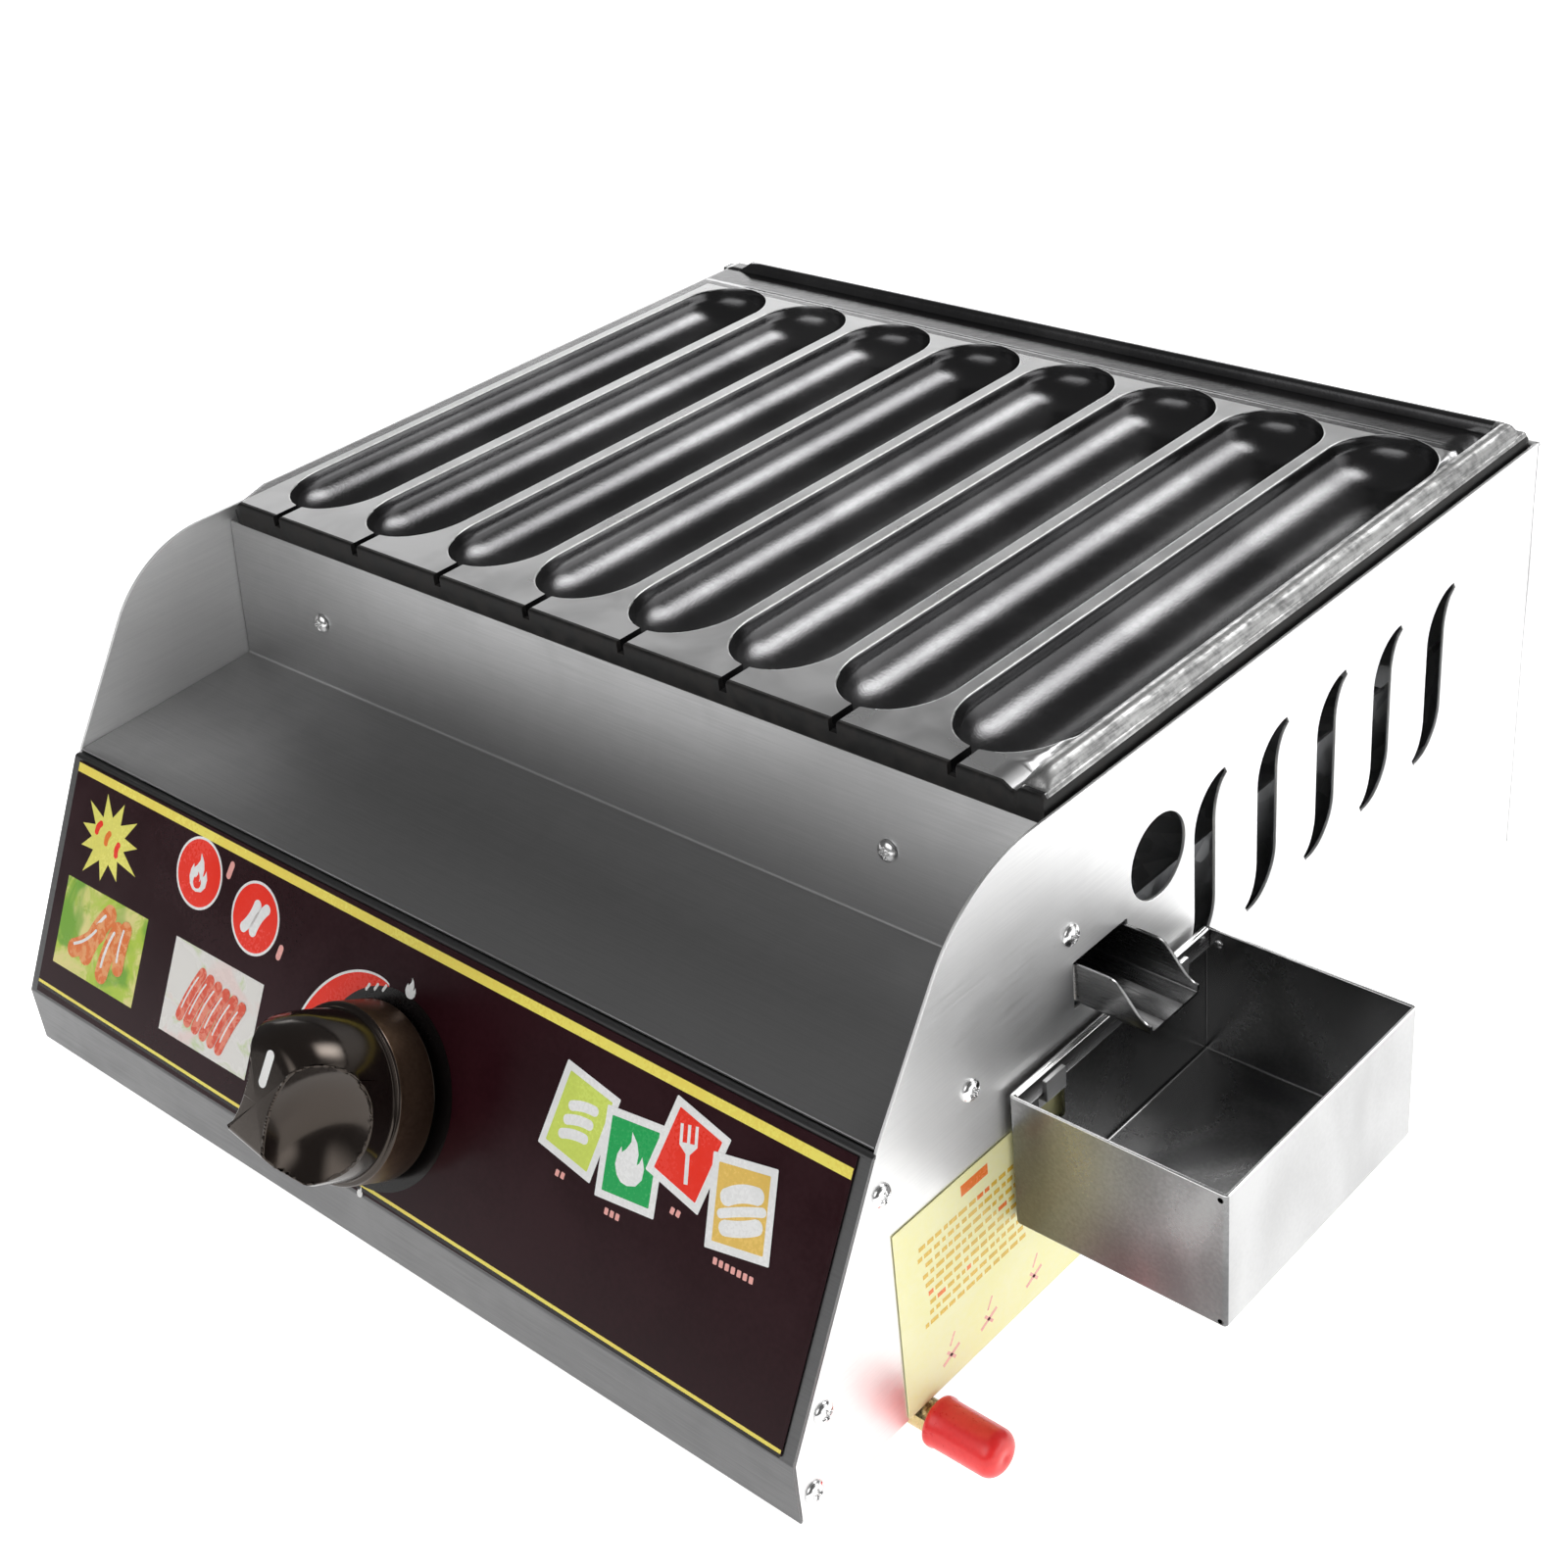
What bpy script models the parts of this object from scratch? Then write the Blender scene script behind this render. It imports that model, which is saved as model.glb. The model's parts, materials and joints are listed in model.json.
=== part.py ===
"""Counter-top gas grill with an eight-groove cast plate for hot dogs and sausages.

The frame has +X to the right, -Y to the front and +Z up, in metres, and the model
stands on its four feet at z = 0, centred on its own bounding box.
"""
import math

import bmesh
import bpy
from mathutils import Matrix, Vector

MM = 0.001
GAP = 0.3 * MM                    # clearance between pieces that touch

# casing
CASE_W = 400 * MM                 # over the two side panels
CASE_H = 175.6 * MM               # bottom edge to top edge of a side panel
REAR_Y = 299 * MM                 # outer face of the back panel; y = 0 is the riser's top
SHEET = 1.2 * MM                  # stainless sheet
FOOT_H = 20 * MM
FOOT_R = 13 * MM

# front profile in (y, z over the casing's bottom edge)
CURVE_START_Y = -12 * MM          # where the top edge starts to curve down
CURVE_R = 56 * MM
CURVE_TURN = math.radians(54)
SHELF_FRONT = (-88.5 * MM, 110.3 * MM)
LIP_TOP = (-135.3 * MM, 24.3 * MM)
RISER_FOOT = (-5.7 * MM, 114.4 * MM)
RISER_TOP = (0.0, 170.4 * MM)
RETURN_FLANGE = 12 * MM

# cast grill plate
PLATE_HALF_W = 197.6 * MM
PLATE_FRONT_Y = -1.5 * MM
PLATE_REAR_Y = 294 * MM
PLATE_TOP = 181 * MM
PLATE_RIM_UNDER = 171 * MM        # underside of the plate's resting rim
PLATE_UNDER = 163.5 * MM          # underside below the grooves
PLATE_BODY_HALF_W = 183 * MM
PLATE_BODY_Y = (15 * MM, 278 * MM)
CORNER_CUT = (7 * MM, 18 * MM)    # front-left corner, across and back
GROOVES = 8
GROOVE_PITCH = 46.8 * MM
GROOVE_HALF_W = 21 * MM
GROOVE_DEPTH = 13 * MM
GROOVE_Y = (10 * MM, 268 * MM)    # tip of the front neck, rear of the round end
NECK_LENGTH = 24 * MM
DRAIN_W = 3.6 * MM
DRAIN_LIP = 4 * MM                # depth of the drain slit where it crosses the front edge
RIM_BEAD_W = 9.5 * MM
RIM_BEAD_H = 4.2 * MM
BACK_BEAD_W = 6 * MM
BACK_BEAD_H = 3.5 * MM

# side openings, in (y, z over the casing's bottom edge)
VENTS = 5
VENT_FIRST_Y = 78.5 * MM
VENT_PITCH = 37.1 * MM
VENT_Z = 112.2 * MM               # height of the vents' middle
VENT_W = 12 * MM
SIGHT_HOLE = (52.5 * MM, 131.4 * MM)
SIGHT_HOLE_R = 14.8 * MM
SPOUT_Y = (7.5 * MM, 34 * MM)     # over the spout's walls
SPOUT_Z = (103 * MM, 117 * MM)    # floor and wall top where it leaves the panel
SPOUT_REACH = 27 * MM
TROUGH_FALL = 8 * MM              # how far the trough's floor falls from left to right
PANEL_SCREWS = ((5.6, 129.2), (-45.3, 103.8), (-87.5, 93.7), (-120.5, 34.6), (-128, 8.2))
RISER_SCREWS = (-146 * MM, 137 * MM)

# drip box, hung on two hooks
BOX_Y = (-30.5 * MM, 75.5 * MM)
BOX_Z = (41.5 * MM, 92.5 * MM)
BOX_STANDOFF = 2 * MM
BOX_W = 76.5 * MM
BOX_WALL = 1.2 * MM
HOOK_Y = (-11 * MM, 56 * MM)
HOOK_W = 10 * MM
HOOK_TOP = 82.9 * MM              # top of the hook's arm, just under the window's top edge
HOOK_RISE = 6.5 * MM
WINDOW_W = 13 * MM
WINDOW_H = 15 * MM

# knob and valve, along the fascia's normal; heights are over the fascia's face
KNOB_X = 3 * MM
KNOB_DROP = 59 * MM               # down the fascia from its top edge
KNOB_R = 30.6 * MM
KNOB_FOOT = 4.2 * MM
KNOB_STEP = 20 * MM
KNOB_TOP = 53 * MM
KNOB_BORE = 32 * MM
KNOB_TURN = -7                    # degrees the grip stands off the fascia's slope line
SCOOP_X = 42 * MM
STEM_R = 4 * MM
VALVE_R = 13 * MM
VALVE_BORE_R = 6.9 * MM
VALVE_Z = (-46 * MM, -6 * MM)
BORE_FLOOR = -32 * MM

# gas supply and burner
INLET_Y = -75 * MM
INLET_Z = -6 * MM
PIPE_R = 4.8 * MM
CAP_R = 8.5 * MM
CAP_LENGTH = 26 * MM
BURNER_Z = 94 * MM
ARM_X = 95 * MM
ARM_R = 11 * MM
ARM_Y = (46 * MM, 266 * MM)
CROSS_Y = 150 * MM
MIXER_R = 11 * MM
SHUTTER_R = 14 * MM
SHIELD_Z = 58 * MM
SHIELD_HALF_W = 180 * MM
SHIELD_TOP = 100 * MM

SIDES = 24                        # facets of the round pieces
SMALL_SIDES = 12

for leftover in list(bpy.data.objects):
    bpy.data.objects.remove(leftover, do_unlink=True)


# ---------------------------------------------------------------- materials
def material(name, colour, roughness, metallic):
    made = bpy.data.materials.new(name)
    made.use_nodes = True
    shader = made.node_tree.nodes["Principled BSDF"]
    shader.inputs["Base Color"].default_value = (*colour, 1)
    shader.inputs["Roughness"].default_value = roughness
    shader.inputs["Metallic"].default_value = metallic
    return made


STAINLESS = ((0.78, 0.78, 0.77), 0.28, 1.0)
SATIN = ((0.55, 0.55, 0.55), 0.38, 1.0)
CAST = ((0.02, 0.02, 0.022), 0.32, 0.2)
MAROON = ((0.035, 0.008, 0.012), 0.2, 0.0)
BLACK = ((0.012, 0.011, 0.011), 0.15, 0.0)
BRASS = ((0.72, 0.55, 0.25), 0.35, 1.0)
IRON = ((0.12, 0.12, 0.12), 0.6, 0.8)
GALVANISED = ((0.6, 0.62, 0.64), 0.45, 1.0)
RED = ((0.8, 0.02, 0.02), 0.35, 0.0)
RUBBER = ((0.03, 0.03, 0.03), 0.8, 0.0)
LABEL = ((0.93, 0.8, 0.25), 0.5, 0.0)
CERAMIC = ((0.9, 0.88, 0.84), 0.4, 0.0)


# ---------------------------------------------------------------- mesh helpers
def finish(name, bm, look, frame=None, smooth=True):
    """Turn a bmesh into a named object with its own material."""
    bmesh.ops.remove_doubles(bm, verts=bm.verts, dist=1e-6)
    bmesh.ops.recalc_face_normals(bm, faces=bm.faces)
    mesh = bpy.data.meshes.new(name)
    bm.to_mesh(mesh)
    bm.free()
    made = bpy.data.objects.new(name, mesh)
    bpy.context.scene.collection.objects.link(made)
    if smooth:
        mesh.shade_smooth()
        mesh.set_sharp_from_angle(angle=math.radians(35))
    if look is not None:
        mesh.materials.append(material(name, *look))
    if frame is not None:
        made.matrix_world = frame
    return made


def loft(bm, rings, closed_ends=True, loop=False):
    """Join rings of equal length into one skin."""
    made = [[bm.verts.new(point) for point in ring] for ring in rings]
    count = len(made[0])
    spans = len(made) if loop else len(made) - 1
    for index in range(spans):
        first, second = made[index], made[(index + 1) % len(made)]
        for corner in range(count):
            follow = (corner + 1) % count
            bm.faces.new((first[corner], first[follow], second[follow], second[corner]))
    if closed_ends and not loop:
        bm.faces.new(list(reversed(made[0])))
        bm.faces.new(made[-1])
    return made


def along(axis, outline, depth):
    """Points of a flat outline at one depth along X, Y or Z."""
    if axis == "X":
        return [Vector((depth, a, b)) for a, b in outline]
    if axis == "Y":
        return [Vector((a, depth, b)) for a, b in outline]
    return [Vector((a, b, depth)) for a, b in outline]


def add_prism(bm, axis, outline, low, high):
    loft(bm, [along(axis, outline, low), along(axis, outline, high)])


def prism(name, axis, outline, low, high, look, frame=None):
    bm = bmesh.new()
    add_prism(bm, axis, outline, low, high)
    return finish(name, bm, look, frame)


def rectangle(low_a, high_a, low_b, high_b):
    return [(low_a, low_b), (high_a, low_b), (high_a, high_b), (low_a, high_b)]


def circle(centre, radius, sides, start=0.0):
    turn = 2 * math.pi / sides
    return [(centre[0] + radius * math.cos(start + turn * step),
             centre[1] + radius * math.sin(start + turn * step)) for step in range(sides)]


def folded(path, thickness):
    """Outline of a bent sheet: the path and its mitred offset to the left."""
    points = [Vector(point) for point in path]
    offset = []
    for index, point in enumerate(points):
        before = points[index] - points[index - 1] if index else points[1] - points[0]
        after = points[index + 1] - point if index < len(points) - 1 else before
        one = Vector((-before.y, before.x)).normalized()
        two = Vector((-after.y, after.x)).normalized()
        mitre = (one + two).normalized()
        offset.append(point + mitre * (thickness / mitre.dot(two)))
    return [tuple(point) for point in points] + [tuple(point) for point in reversed(offset)]


def lathe(name, profile, look, frame=None, sides=SIDES):
    """Turn a closed (radius, height) profile round local Z."""
    bm = bmesh.new()
    add_lathe(bm, profile, sides)
    return finish(name, bm, look, frame)


def add_lathe(bm, profile, sides=SIDES):
    columns = []
    poles = [bm.verts.new((0, 0, height)) if radius == 0 else None
             for radius, height in profile]
    for side in range(sides):
        turn = 2 * math.pi * side / sides
        column = []
        for pole, (radius, height) in zip(poles, profile):
            corner = (radius * math.cos(turn), radius * math.sin(turn), height)
            column.append(pole if pole else bm.verts.new(corner))
        columns.append(column)
    hollow = poles[0] is None
    spans = len(profile) if hollow else len(profile) - 1
    for side in range(sides):
        one, two = columns[side], columns[(side + 1) % sides]
        for index in range(spans):
            follow = (index + 1) % len(profile)
            corners = []
            for vert in (one[index], two[index], two[follow], one[follow]):
                if vert not in corners:
                    corners.append(vert)
            if len(corners) > 2:
                bm.faces.new(corners)


def smooth_path(points, spacing):
    """Points at an even spacing on a smooth curve through the given ones."""
    route = []
    padded = [points[0] * 2 - points[1], *points, points[-1] * 2 - points[-2]]
    for index in range(1, len(padded) - 2):
        p0, p1, p2, p3 = padded[index - 1:index + 3]
        steps = max(2, round((p2 - p1).length / spacing))
        for step in range(steps):
            t = step / steps
            route.append(0.5 * (2 * p1 + (p2 - p0) * t + (2 * p0 - 5 * p1 + 4 * p2 - p3) * t * t
                                + (3 * p1 - p0 - 3 * p2 + p3) * t ** 3))
    route.append(points[-1])
    return route


def bent_pipe(corners, radius, steps=5):
    """Straight runs joined by round bends."""
    route = [corners[0]]
    for before, corner, after in zip(corners, corners[1:], corners[2:]):
        inward = (before - corner).normalized()
        outward = (after - corner).normalized()
        for step in range(steps + 1):
            t = step / steps
            start, end = corner + inward * radius, corner + outward * radius
            route.append(start * (1 - t) ** 2 + corner * 2 * t * (1 - t) + end * t ** 2)
    route.append(corners[-1])
    return route


def sweep_rings(route, radius, sides):
    """Circles along a route, carried without twist."""
    rings = []
    heading = (route[1] - route[0]).normalized()
    side = heading.orthogonal().normalized()
    for index, point in enumerate(route):
        before = route[max(index - 1, 0)]
        after = route[min(index + 1, len(route) - 1)]
        heading = (after - before).normalized()
        side = (side - heading * side.dot(heading)).normalized()
        up = heading.cross(side)
        rings.append([point + (side * math.cos(turn) + up * math.sin(turn)) * radius
                      for turn in (2 * math.pi * k / sides for k in range(sides))])
    return rings


def rod(name, route, radius, look, sides=SMALL_SIDES, frame=None):
    bm = bmesh.new()
    loft(bm, sweep_rings(route, radius, sides))
    return finish(name, bm, look, frame)


def cutter(name, build):
    """A hidden tool body for a Boolean; build fills its bmesh."""
    bm = bmesh.new()
    build(bm)
    made = finish(name, bm, None, smooth=False)
    made.hide_render = True
    made.display_type = "WIRE"
    return made


def boolean(body, tool, operation="DIFFERENCE"):
    step = body.modifiers.new(tool.name, "BOOLEAN")
    step.object = tool
    step.operation = operation
    step.solver = "EXACT"


def moved(point):
    return Matrix.Translation(point)


# ---------------------------------------------------------------- shared places
def casing(y, z):
    """(y, z) over the casing's bottom edge, as (y, z) over the counter."""
    return (y, z + FOOT_H)


def fascia_frame(x, drop, height=0.0):
    """A frame on the fascia: local Z outward, local Y up the slope."""
    top = Vector((0, *casing(*SHELF_FRONT)))
    low = Vector((0, *casing(*LIP_TOP)))
    up = (top - low).normalized()
    right = Vector((1, 0, 0))
    normal = right.cross(up)
    place = top - up * drop + right * x + normal * height
    turn = Matrix((right, up, normal)).transposed().to_4x4()
    return Matrix.Translation(place) @ turn


def fascia_y(z, inset):
    """Y of a plane parallel to the fascia, an inset behind it, at a height."""
    rise, run = SHELF_FRONT[1] - LIP_TOP[1], SHELF_FRONT[0] - LIP_TOP[0]
    on_face = LIP_TOP[0] + run * (z - LIP_TOP[1]) / rise
    return on_face + inset * math.hypot(rise, run) / rise


HALF_W = CASE_W / 2
INNER_W = HALF_W - SHEET
KNOB_FRAME = fascia_frame(KNOB_X, KNOB_DROP)


# ---------------------------------------------------------------- casing
def side_outline():
    """Side panel's outline, its front edges set back behind the fascia sheet."""
    set_back = SHEET + GAP
    points = [casing(REAR_Y - SHEET - GAP, 0), casing(REAR_Y - SHEET - GAP, CASE_H)]
    centre = (CURVE_START_Y, CASE_H - CURVE_R)
    for step in range(10):
        turn = CURVE_TURN * step / 9
        points.append(casing(centre[0] - CURVE_R * math.sin(turn),
                             centre[1] + CURVE_R * math.cos(turn)))
    points.append(casing(fascia_y(SHELF_FRONT[1], set_back), SHELF_FRONT[1]))
    points.append(casing(LIP_TOP[0] + set_back, LIP_TOP[1] - set_back / 2))
    points.append(casing(LIP_TOP[0] + set_back, 0))
    return points


def vent_outline(centre_y):
    """An S-shaped slot: straight in the middle, with both pointed ends swept to one side."""
    half = []
    for step in range(5):
        turn = math.radians(22.5 * step)
        half.append((-VENT_W / 2 + 17.5 * MM * (1 - math.cos(turn)),
                     14 * MM + 18.4 * MM * math.sin(turn)))
    for step in range(4, -1, -1):
        turn = math.radians(19 * step)
        half.append((VENT_W / 2 + 9 * MM * (1 - math.cos(turn)),
                     15 * MM + 15.4 * MM * math.sin(turn)))
    loop = half + [(-across, -up) for across, up in half]
    return [casing(centre_y + across, VENT_Z + up) for across, up in reversed(loop)]


def side_openings(bm, side, with_spout):
    """Vents, sight hole, screw holes and, on the right, the spout's slot."""
    low, high = sorted((side * (INNER_W - 5 * MM), side * (HALF_W + 5 * MM)))
    for index in range(VENTS):
        add_prism(bm, "X", vent_outline(VENT_FIRST_Y + VENT_PITCH * index), low, high)
    add_prism(bm, "X", circle(casing(*SIGHT_HOLE), SIGHT_HOLE_R, SIDES), low, high)
    for y, z in PANEL_SCREWS:
        add_prism(bm, "X", circle(casing(y * MM, z * MM), 2.4 * MM, SMALL_SIDES), low, high)
    if with_spout:
        slot = rectangle(SPOUT_Y[0] - 1 * MM, SPOUT_Y[1] + 1 * MM,
                         FOOT_H + SPOUT_Z[0] - SHEET - 1.2 * MM,
                         FOOT_H + SPOUT_Z[1] + 1 * MM)
        add_prism(bm, "X", slot, low, high)


def side_panel(name, side, with_spout):
    low, high = sorted((side * INNER_W, side * HALF_W))
    panel = prism(name, "X", side_outline(), low, high, STAINLESS)
    tool = cutter(name + "_openings", lambda bm: side_openings(bm, side, with_spout))
    boolean(panel, tool)
    return panel


def dome_screw(name, place, heading, look=STAINLESS):
    """A dome-headed screw: the head's flat is at the place, heading points out."""
    head_r, head_h, shank_r, shank = 3.9 * MM, 2.3 * MM, 1.9 * MM, 5 * MM
    profile = [(0, head_h)]
    for step in range(1, 3):
        turn = math.pi / 2 * step / 3
        profile.append((head_r * math.sin(turn), head_h * math.cos(turn)))
    profile += [(head_r, 0.3 * MM), (head_r * 0.97, GAP), (shank_r, GAP), (shank_r, -shank),
                (0, -shank)]
    turn = Vector((0, 0, 1)).rotation_difference(Vector(heading)).to_matrix().to_4x4()
    return lathe(name, profile, look, moved(place) @ turn, 10)


def front_tray():
    """Riser under the plate's front edge and the shelf in front of it, one folded sheet."""
    path = [casing(*RISER_TOP), casing(*RISER_FOOT),
            casing(SHELF_FRONT[0] + 1.5 * MM, SHELF_FRONT[1])]
    tray = prism("front_tray", "X", folded(path, SHEET), -INNER_W + GAP, INNER_W - GAP, SATIN)

    def holes(bm):
        for x in RISER_SCREWS:
            outline = circle((x, FOOT_H + 141 * MM), 2.4 * MM, SMALL_SIDES)
            add_prism(bm, "Y", outline, -12 * MM, 6 * MM)

    boolean(tray, cutter("front_tray_holes", holes))
    return tray


def fascia():
    """Sloped fascia, upright lip and the flanges folded behind them."""
    flange_z = SHELF_FRONT[1] - SHEET - 1.5 * GAP
    path = [casing(SHELF_FRONT[0] + 14 * MM, flange_z), casing(fascia_y(flange_z, 0), flange_z),
            casing(*LIP_TOP), casing(LIP_TOP[0], 0),
            casing(LIP_TOP[0] + RETURN_FLANGE, 0)]
    front = prism("front_fascia", "X", folded(path, SHEET), -HALF_W, HALF_W, STAINLESS)
    bm = bmesh.new()
    for corner in (-1, 1):
        low, high = sorted((corner * (INNER_W - GAP), corner * (HALF_W + 1 * MM)))
        add_prism(bm, "X", casing_flange_cut(), low, high)
    tool = finish("front_fascia_corners", bm, None, smooth=False)
    tool.hide_render = True
    tool.display_type = "WIRE"
    boolean(front, tool)

    def stem_hole(hole):
        add_prism(hole, "Z", circle((0, 0), STEM_R + 2 * MM, SIDES), -8 * MM, 8 * MM)

    hole = cutter("front_fascia_hole", stem_hole)
    hole.matrix_world = KNOB_FRAME
    boolean(front, hole)
    return front


def casing_flange_cut():
    """Clears the fascia's flanges where the side panels stand."""
    inset = SHEET + GAP / 2
    behind = SHELF_FRONT[0] + 20 * MM
    return [casing(LIP_TOP[0] + inset, -1 * MM), casing(behind, -1 * MM),
            casing(behind, SHELF_FRONT[1]),
            casing(fascia_y(SHELF_FRONT[1], inset), SHELF_FRONT[1]),
            casing(LIP_TOP[0] + inset, LIP_TOP[1] - inset / 2)]


def overlay():
    """Printed film on the fascia, open round the valve's stem."""
    slope = (Vector(SHELF_FRONT) - Vector(LIP_TOP)).length
    film = prism("fascia_overlay", "Z", rectangle(-195.5 * MM, 195.5 * MM, -slope / 2 + 1.5 * MM,
                                                  slope / 2 - 3 * MM),
                 GAP, GAP + 0.4 * MM, MAROON, fascia_frame(0, slope / 2))

    def stem_hole(hole):
        add_prism(hole, "Z", circle((0, 0), STEM_R + 3 * MM, SIDES), -4 * MM, 4 * MM)

    hole = cutter("fascia_overlay_hole", stem_hole)
    hole.matrix_world = KNOB_FRAME
    boolean(film, hole)
    return film


def back_panel():
    """Back sheet over the side panels' rear edges, with a row of vents."""
    path = [casing(REAR_Y - RETURN_FLANGE, 0), casing(REAR_Y, 0), casing(REAR_Y, CASE_H),
            casing(REAR_Y - 3.5 * MM, CASE_H)]
    panel = prism("back_panel", "X", folded(path, SHEET), -HALF_W, HALF_W, STAINLESS)

    def openings(bm):
        for index in range(5):
            x = (index - 2) * 56 * MM
            slot = [(x + a, FOOT_H + 120 * MM + b) for a, b in
                    [(-18 * MM, -4 * MM), (18 * MM, -4 * MM), (21 * MM, 0), (18 * MM, 4 * MM),
                     (-18 * MM, 4 * MM), (-21 * MM, 0)]]
            add_prism(bm, "Y", slot, REAR_Y - 4 * MM, REAR_Y + 4 * MM)
        for x, z in back_screws():
            add_prism(bm, "Y", circle((x, z), 2.4 * MM, SMALL_SIDES),
                      REAR_Y - 4 * MM, REAR_Y + 4 * MM)
        for corner in (-1, 1):
            low, high = sorted((corner * (INNER_W - GAP), corner * (HALF_W + 1 * MM)))
            add_prism(bm, "X", rectangle(REAR_Y - 20 * MM, REAR_Y - SHEET - GAP / 2,
                                         FOOT_H - 5 * MM, FOOT_H + CASE_H + 5 * MM), low, high)

    boolean(panel, cutter("back_panel_openings", openings))
    return panel


def back_screws():
    inset = HALF_W - 14 * MM
    return [(side * inset, FOOT_H + z * MM) for side in (-1, 1) for z in (20, 150)]


def base_pan():
    path = [casing(REAR_Y - SHEET - 2 * GAP, 14 * MM),
            casing(REAR_Y - SHEET - 2 * GAP, 2 * MM),
            casing(-30 * MM, 2 * MM), casing(-30 * MM, 14 * MM)]
    outline = folded(list(reversed(path)), SHEET)
    pan = prism("base_pan", "X", outline, -INNER_W + GAP, INNER_W - GAP, GALVANISED)

    def openings(bm):
        for index in range(4):
            y = 60 * MM + index * 55 * MM
            for x in (-120 * MM, -40 * MM, 40 * MM, 120 * MM):
                add_prism(bm, "Z", rectangle(x - 25 * MM, x + 25 * MM, y - 4 * MM, y + 4 * MM),
                          FOOT_H - 4 * MM, FOOT_H + 8 * MM)

    boolean(pan, cutter("base_pan_slots", openings))
    return pan


def foot(name, x, y):
    """Rubber foot with a screwed-in neck under the base pan or the fascia's flange."""
    profile = [(0, 0), (FOOT_R * 0.9, 0), (FOOT_R, 1.5 * MM), (FOOT_R * 0.82, FOOT_H - GAP),
               (0, FOOT_H - GAP)]
    return lathe(name, profile, RUBBER, moved((x, y, 0)), 16)


# ---------------------------------------------------------------- grill plate
def groove_centres():
    first = -GROOVE_PITCH * (GROOVES - 1) / 2
    return [first + GROOVE_PITCH * index for index in range(GROOVES)]


def groove_stations():
    """(y, half width, depth) along one groove: narrow neck, long trough, round end."""
    front, rear = GROOVE_Y
    stations = []
    for step in range(6):
        t = step / 5
        share = math.sin(t * math.pi / 2)
        width = DRAIN_W / 2 * 0.9 + (GROOVE_HALF_W - DRAIN_W / 2 * 0.9) * share
        stations.append((front + NECK_LENGTH * (1 - math.cos(t * math.pi / 2)) + t * 2 * MM,
                         width, GROOVE_DEPTH * (0.35 + 0.65 * share)))
    for step in range(6):
        turn = math.pi / 2 * step / 5.4
        share = math.cos(turn)
        stations.append((rear - GROOVE_HALF_W * (1 - math.sin(turn)),
                         GROOVE_HALF_W * share, GROOVE_DEPTH * (0.25 + 0.75 * share)))
    return stations


def add_groove(bm, centre_x, top):
    """A groove's cutter: round-bottomed sections under a flat lid."""
    facets = 10
    rings = []
    for y, half, depth in groove_stations():
        ring = [Vector((centre_x - half, y, top + 12 * MM))]
        for step in range(facets + 1):
            turn = math.pi * step / facets
            ring.append(Vector((centre_x - half * math.cos(turn), y,
                                top - depth * math.sin(turn) ** 0.85)))
        ring.append(Vector((centre_x + half, y, top + 12 * MM)))
        rings.append(ring)
    loft(bm, rings)


def grill_plate():
    top = FOOT_H + PLATE_TOP
    left, right = -PLATE_HALF_W, PLATE_HALF_W
    cut_x, cut_y = CORNER_CUT
    outline = [(left + cut_x, PLATE_FRONT_Y), (right, PLATE_FRONT_Y), (right, PLATE_REAR_Y),
               (left, PLATE_REAR_Y), (left, PLATE_FRONT_Y + cut_y)]
    bm = bmesh.new()
    shoulder = [(x + 3 * MM * (x < 0) - 1 * MM * (x > 0),
                 y + 1 * MM * (y < 0.02) - 2 * MM * (y > 0.2)) for x, y in outline]
    loft(bm, [along("Z", outline, FOOT_H + PLATE_RIM_UNDER),
              along("Z", outline, top - 4 * MM), along("Z", shoulder, top)])
    plate = finish("grill_plate", bm, CAST)
    body = cutter("grill_plate_body", lambda part: add_prism(
        part, "Z", rectangle(-PLATE_BODY_HALF_W, PLATE_BODY_HALF_W, *PLATE_BODY_Y),
        FOOT_H + PLATE_UNDER, top - 8 * MM))
    boolean(plate, body, "UNION")

    def side_bead(part):
        bead = [(right - 1 * MM - RIM_BEAD_W, top - 6 * MM), (right - 1 * MM, top - 6 * MM)]
        for step in range(7):
            turn = math.pi * step / 6
            bead.append((right - 1 * MM - RIM_BEAD_W / 2 * (1 - math.cos(turn)),
                         top + RIM_BEAD_H * math.sin(turn)))
        add_prism(part, "Y", bead, PLATE_FRONT_Y + 4 * MM, PLATE_REAR_Y - 3.5 * MM)

    def back_bead(part):
        bead = [(PLATE_REAR_Y - 2.5 * MM - BACK_BEAD_W, top - 6 * MM),
                (PLATE_REAR_Y - 2.5 * MM - BACK_BEAD_W, top),
                (PLATE_REAR_Y - 4 * MM - BACK_BEAD_W / 2, top + BACK_BEAD_H),
                (PLATE_REAR_Y - 3.6 * MM, top + BACK_BEAD_H),
                (PLATE_REAR_Y - 2.5 * MM, top - 6 * MM)]
        add_prism(part, "X", bead, left + 12 * MM, right - RIM_BEAD_W + 3 * MM)

    boolean(plate, cutter("grill_plate_side_bead", side_bead), "UNION")
    boolean(plate, cutter("grill_plate_back_bead", back_bead), "UNION")

    def grooves(part):
        for centre in groove_centres():
            add_groove(part, centre, top)

    def slits(part):
        for centre in groove_centres():
            half = DRAIN_W / 2
            add_prism(part, "Z", rectangle(centre - half, centre + half,
                                           PLATE_FRONT_Y - 4 * MM, GROOVE_Y[0] + 3 * MM),
                      top - DRAIN_LIP, top + 8 * MM)

    def drains(part):
        for centre in groove_centres():
            half = DRAIN_W / 2
            add_prism(part, "Z", rectangle(centre - half, centre + half, 4 * MM, 12 * MM),
                      FOOT_H + PLATE_RIM_UNDER - 5 * MM, top + 5 * MM)

    boolean(plate, cutter("grill_plate_grooves", grooves))
    boolean(plate, cutter("grill_plate_slits", slits))
    boolean(plate, cutter("grill_plate_drains", drains))
    return plate


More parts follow.
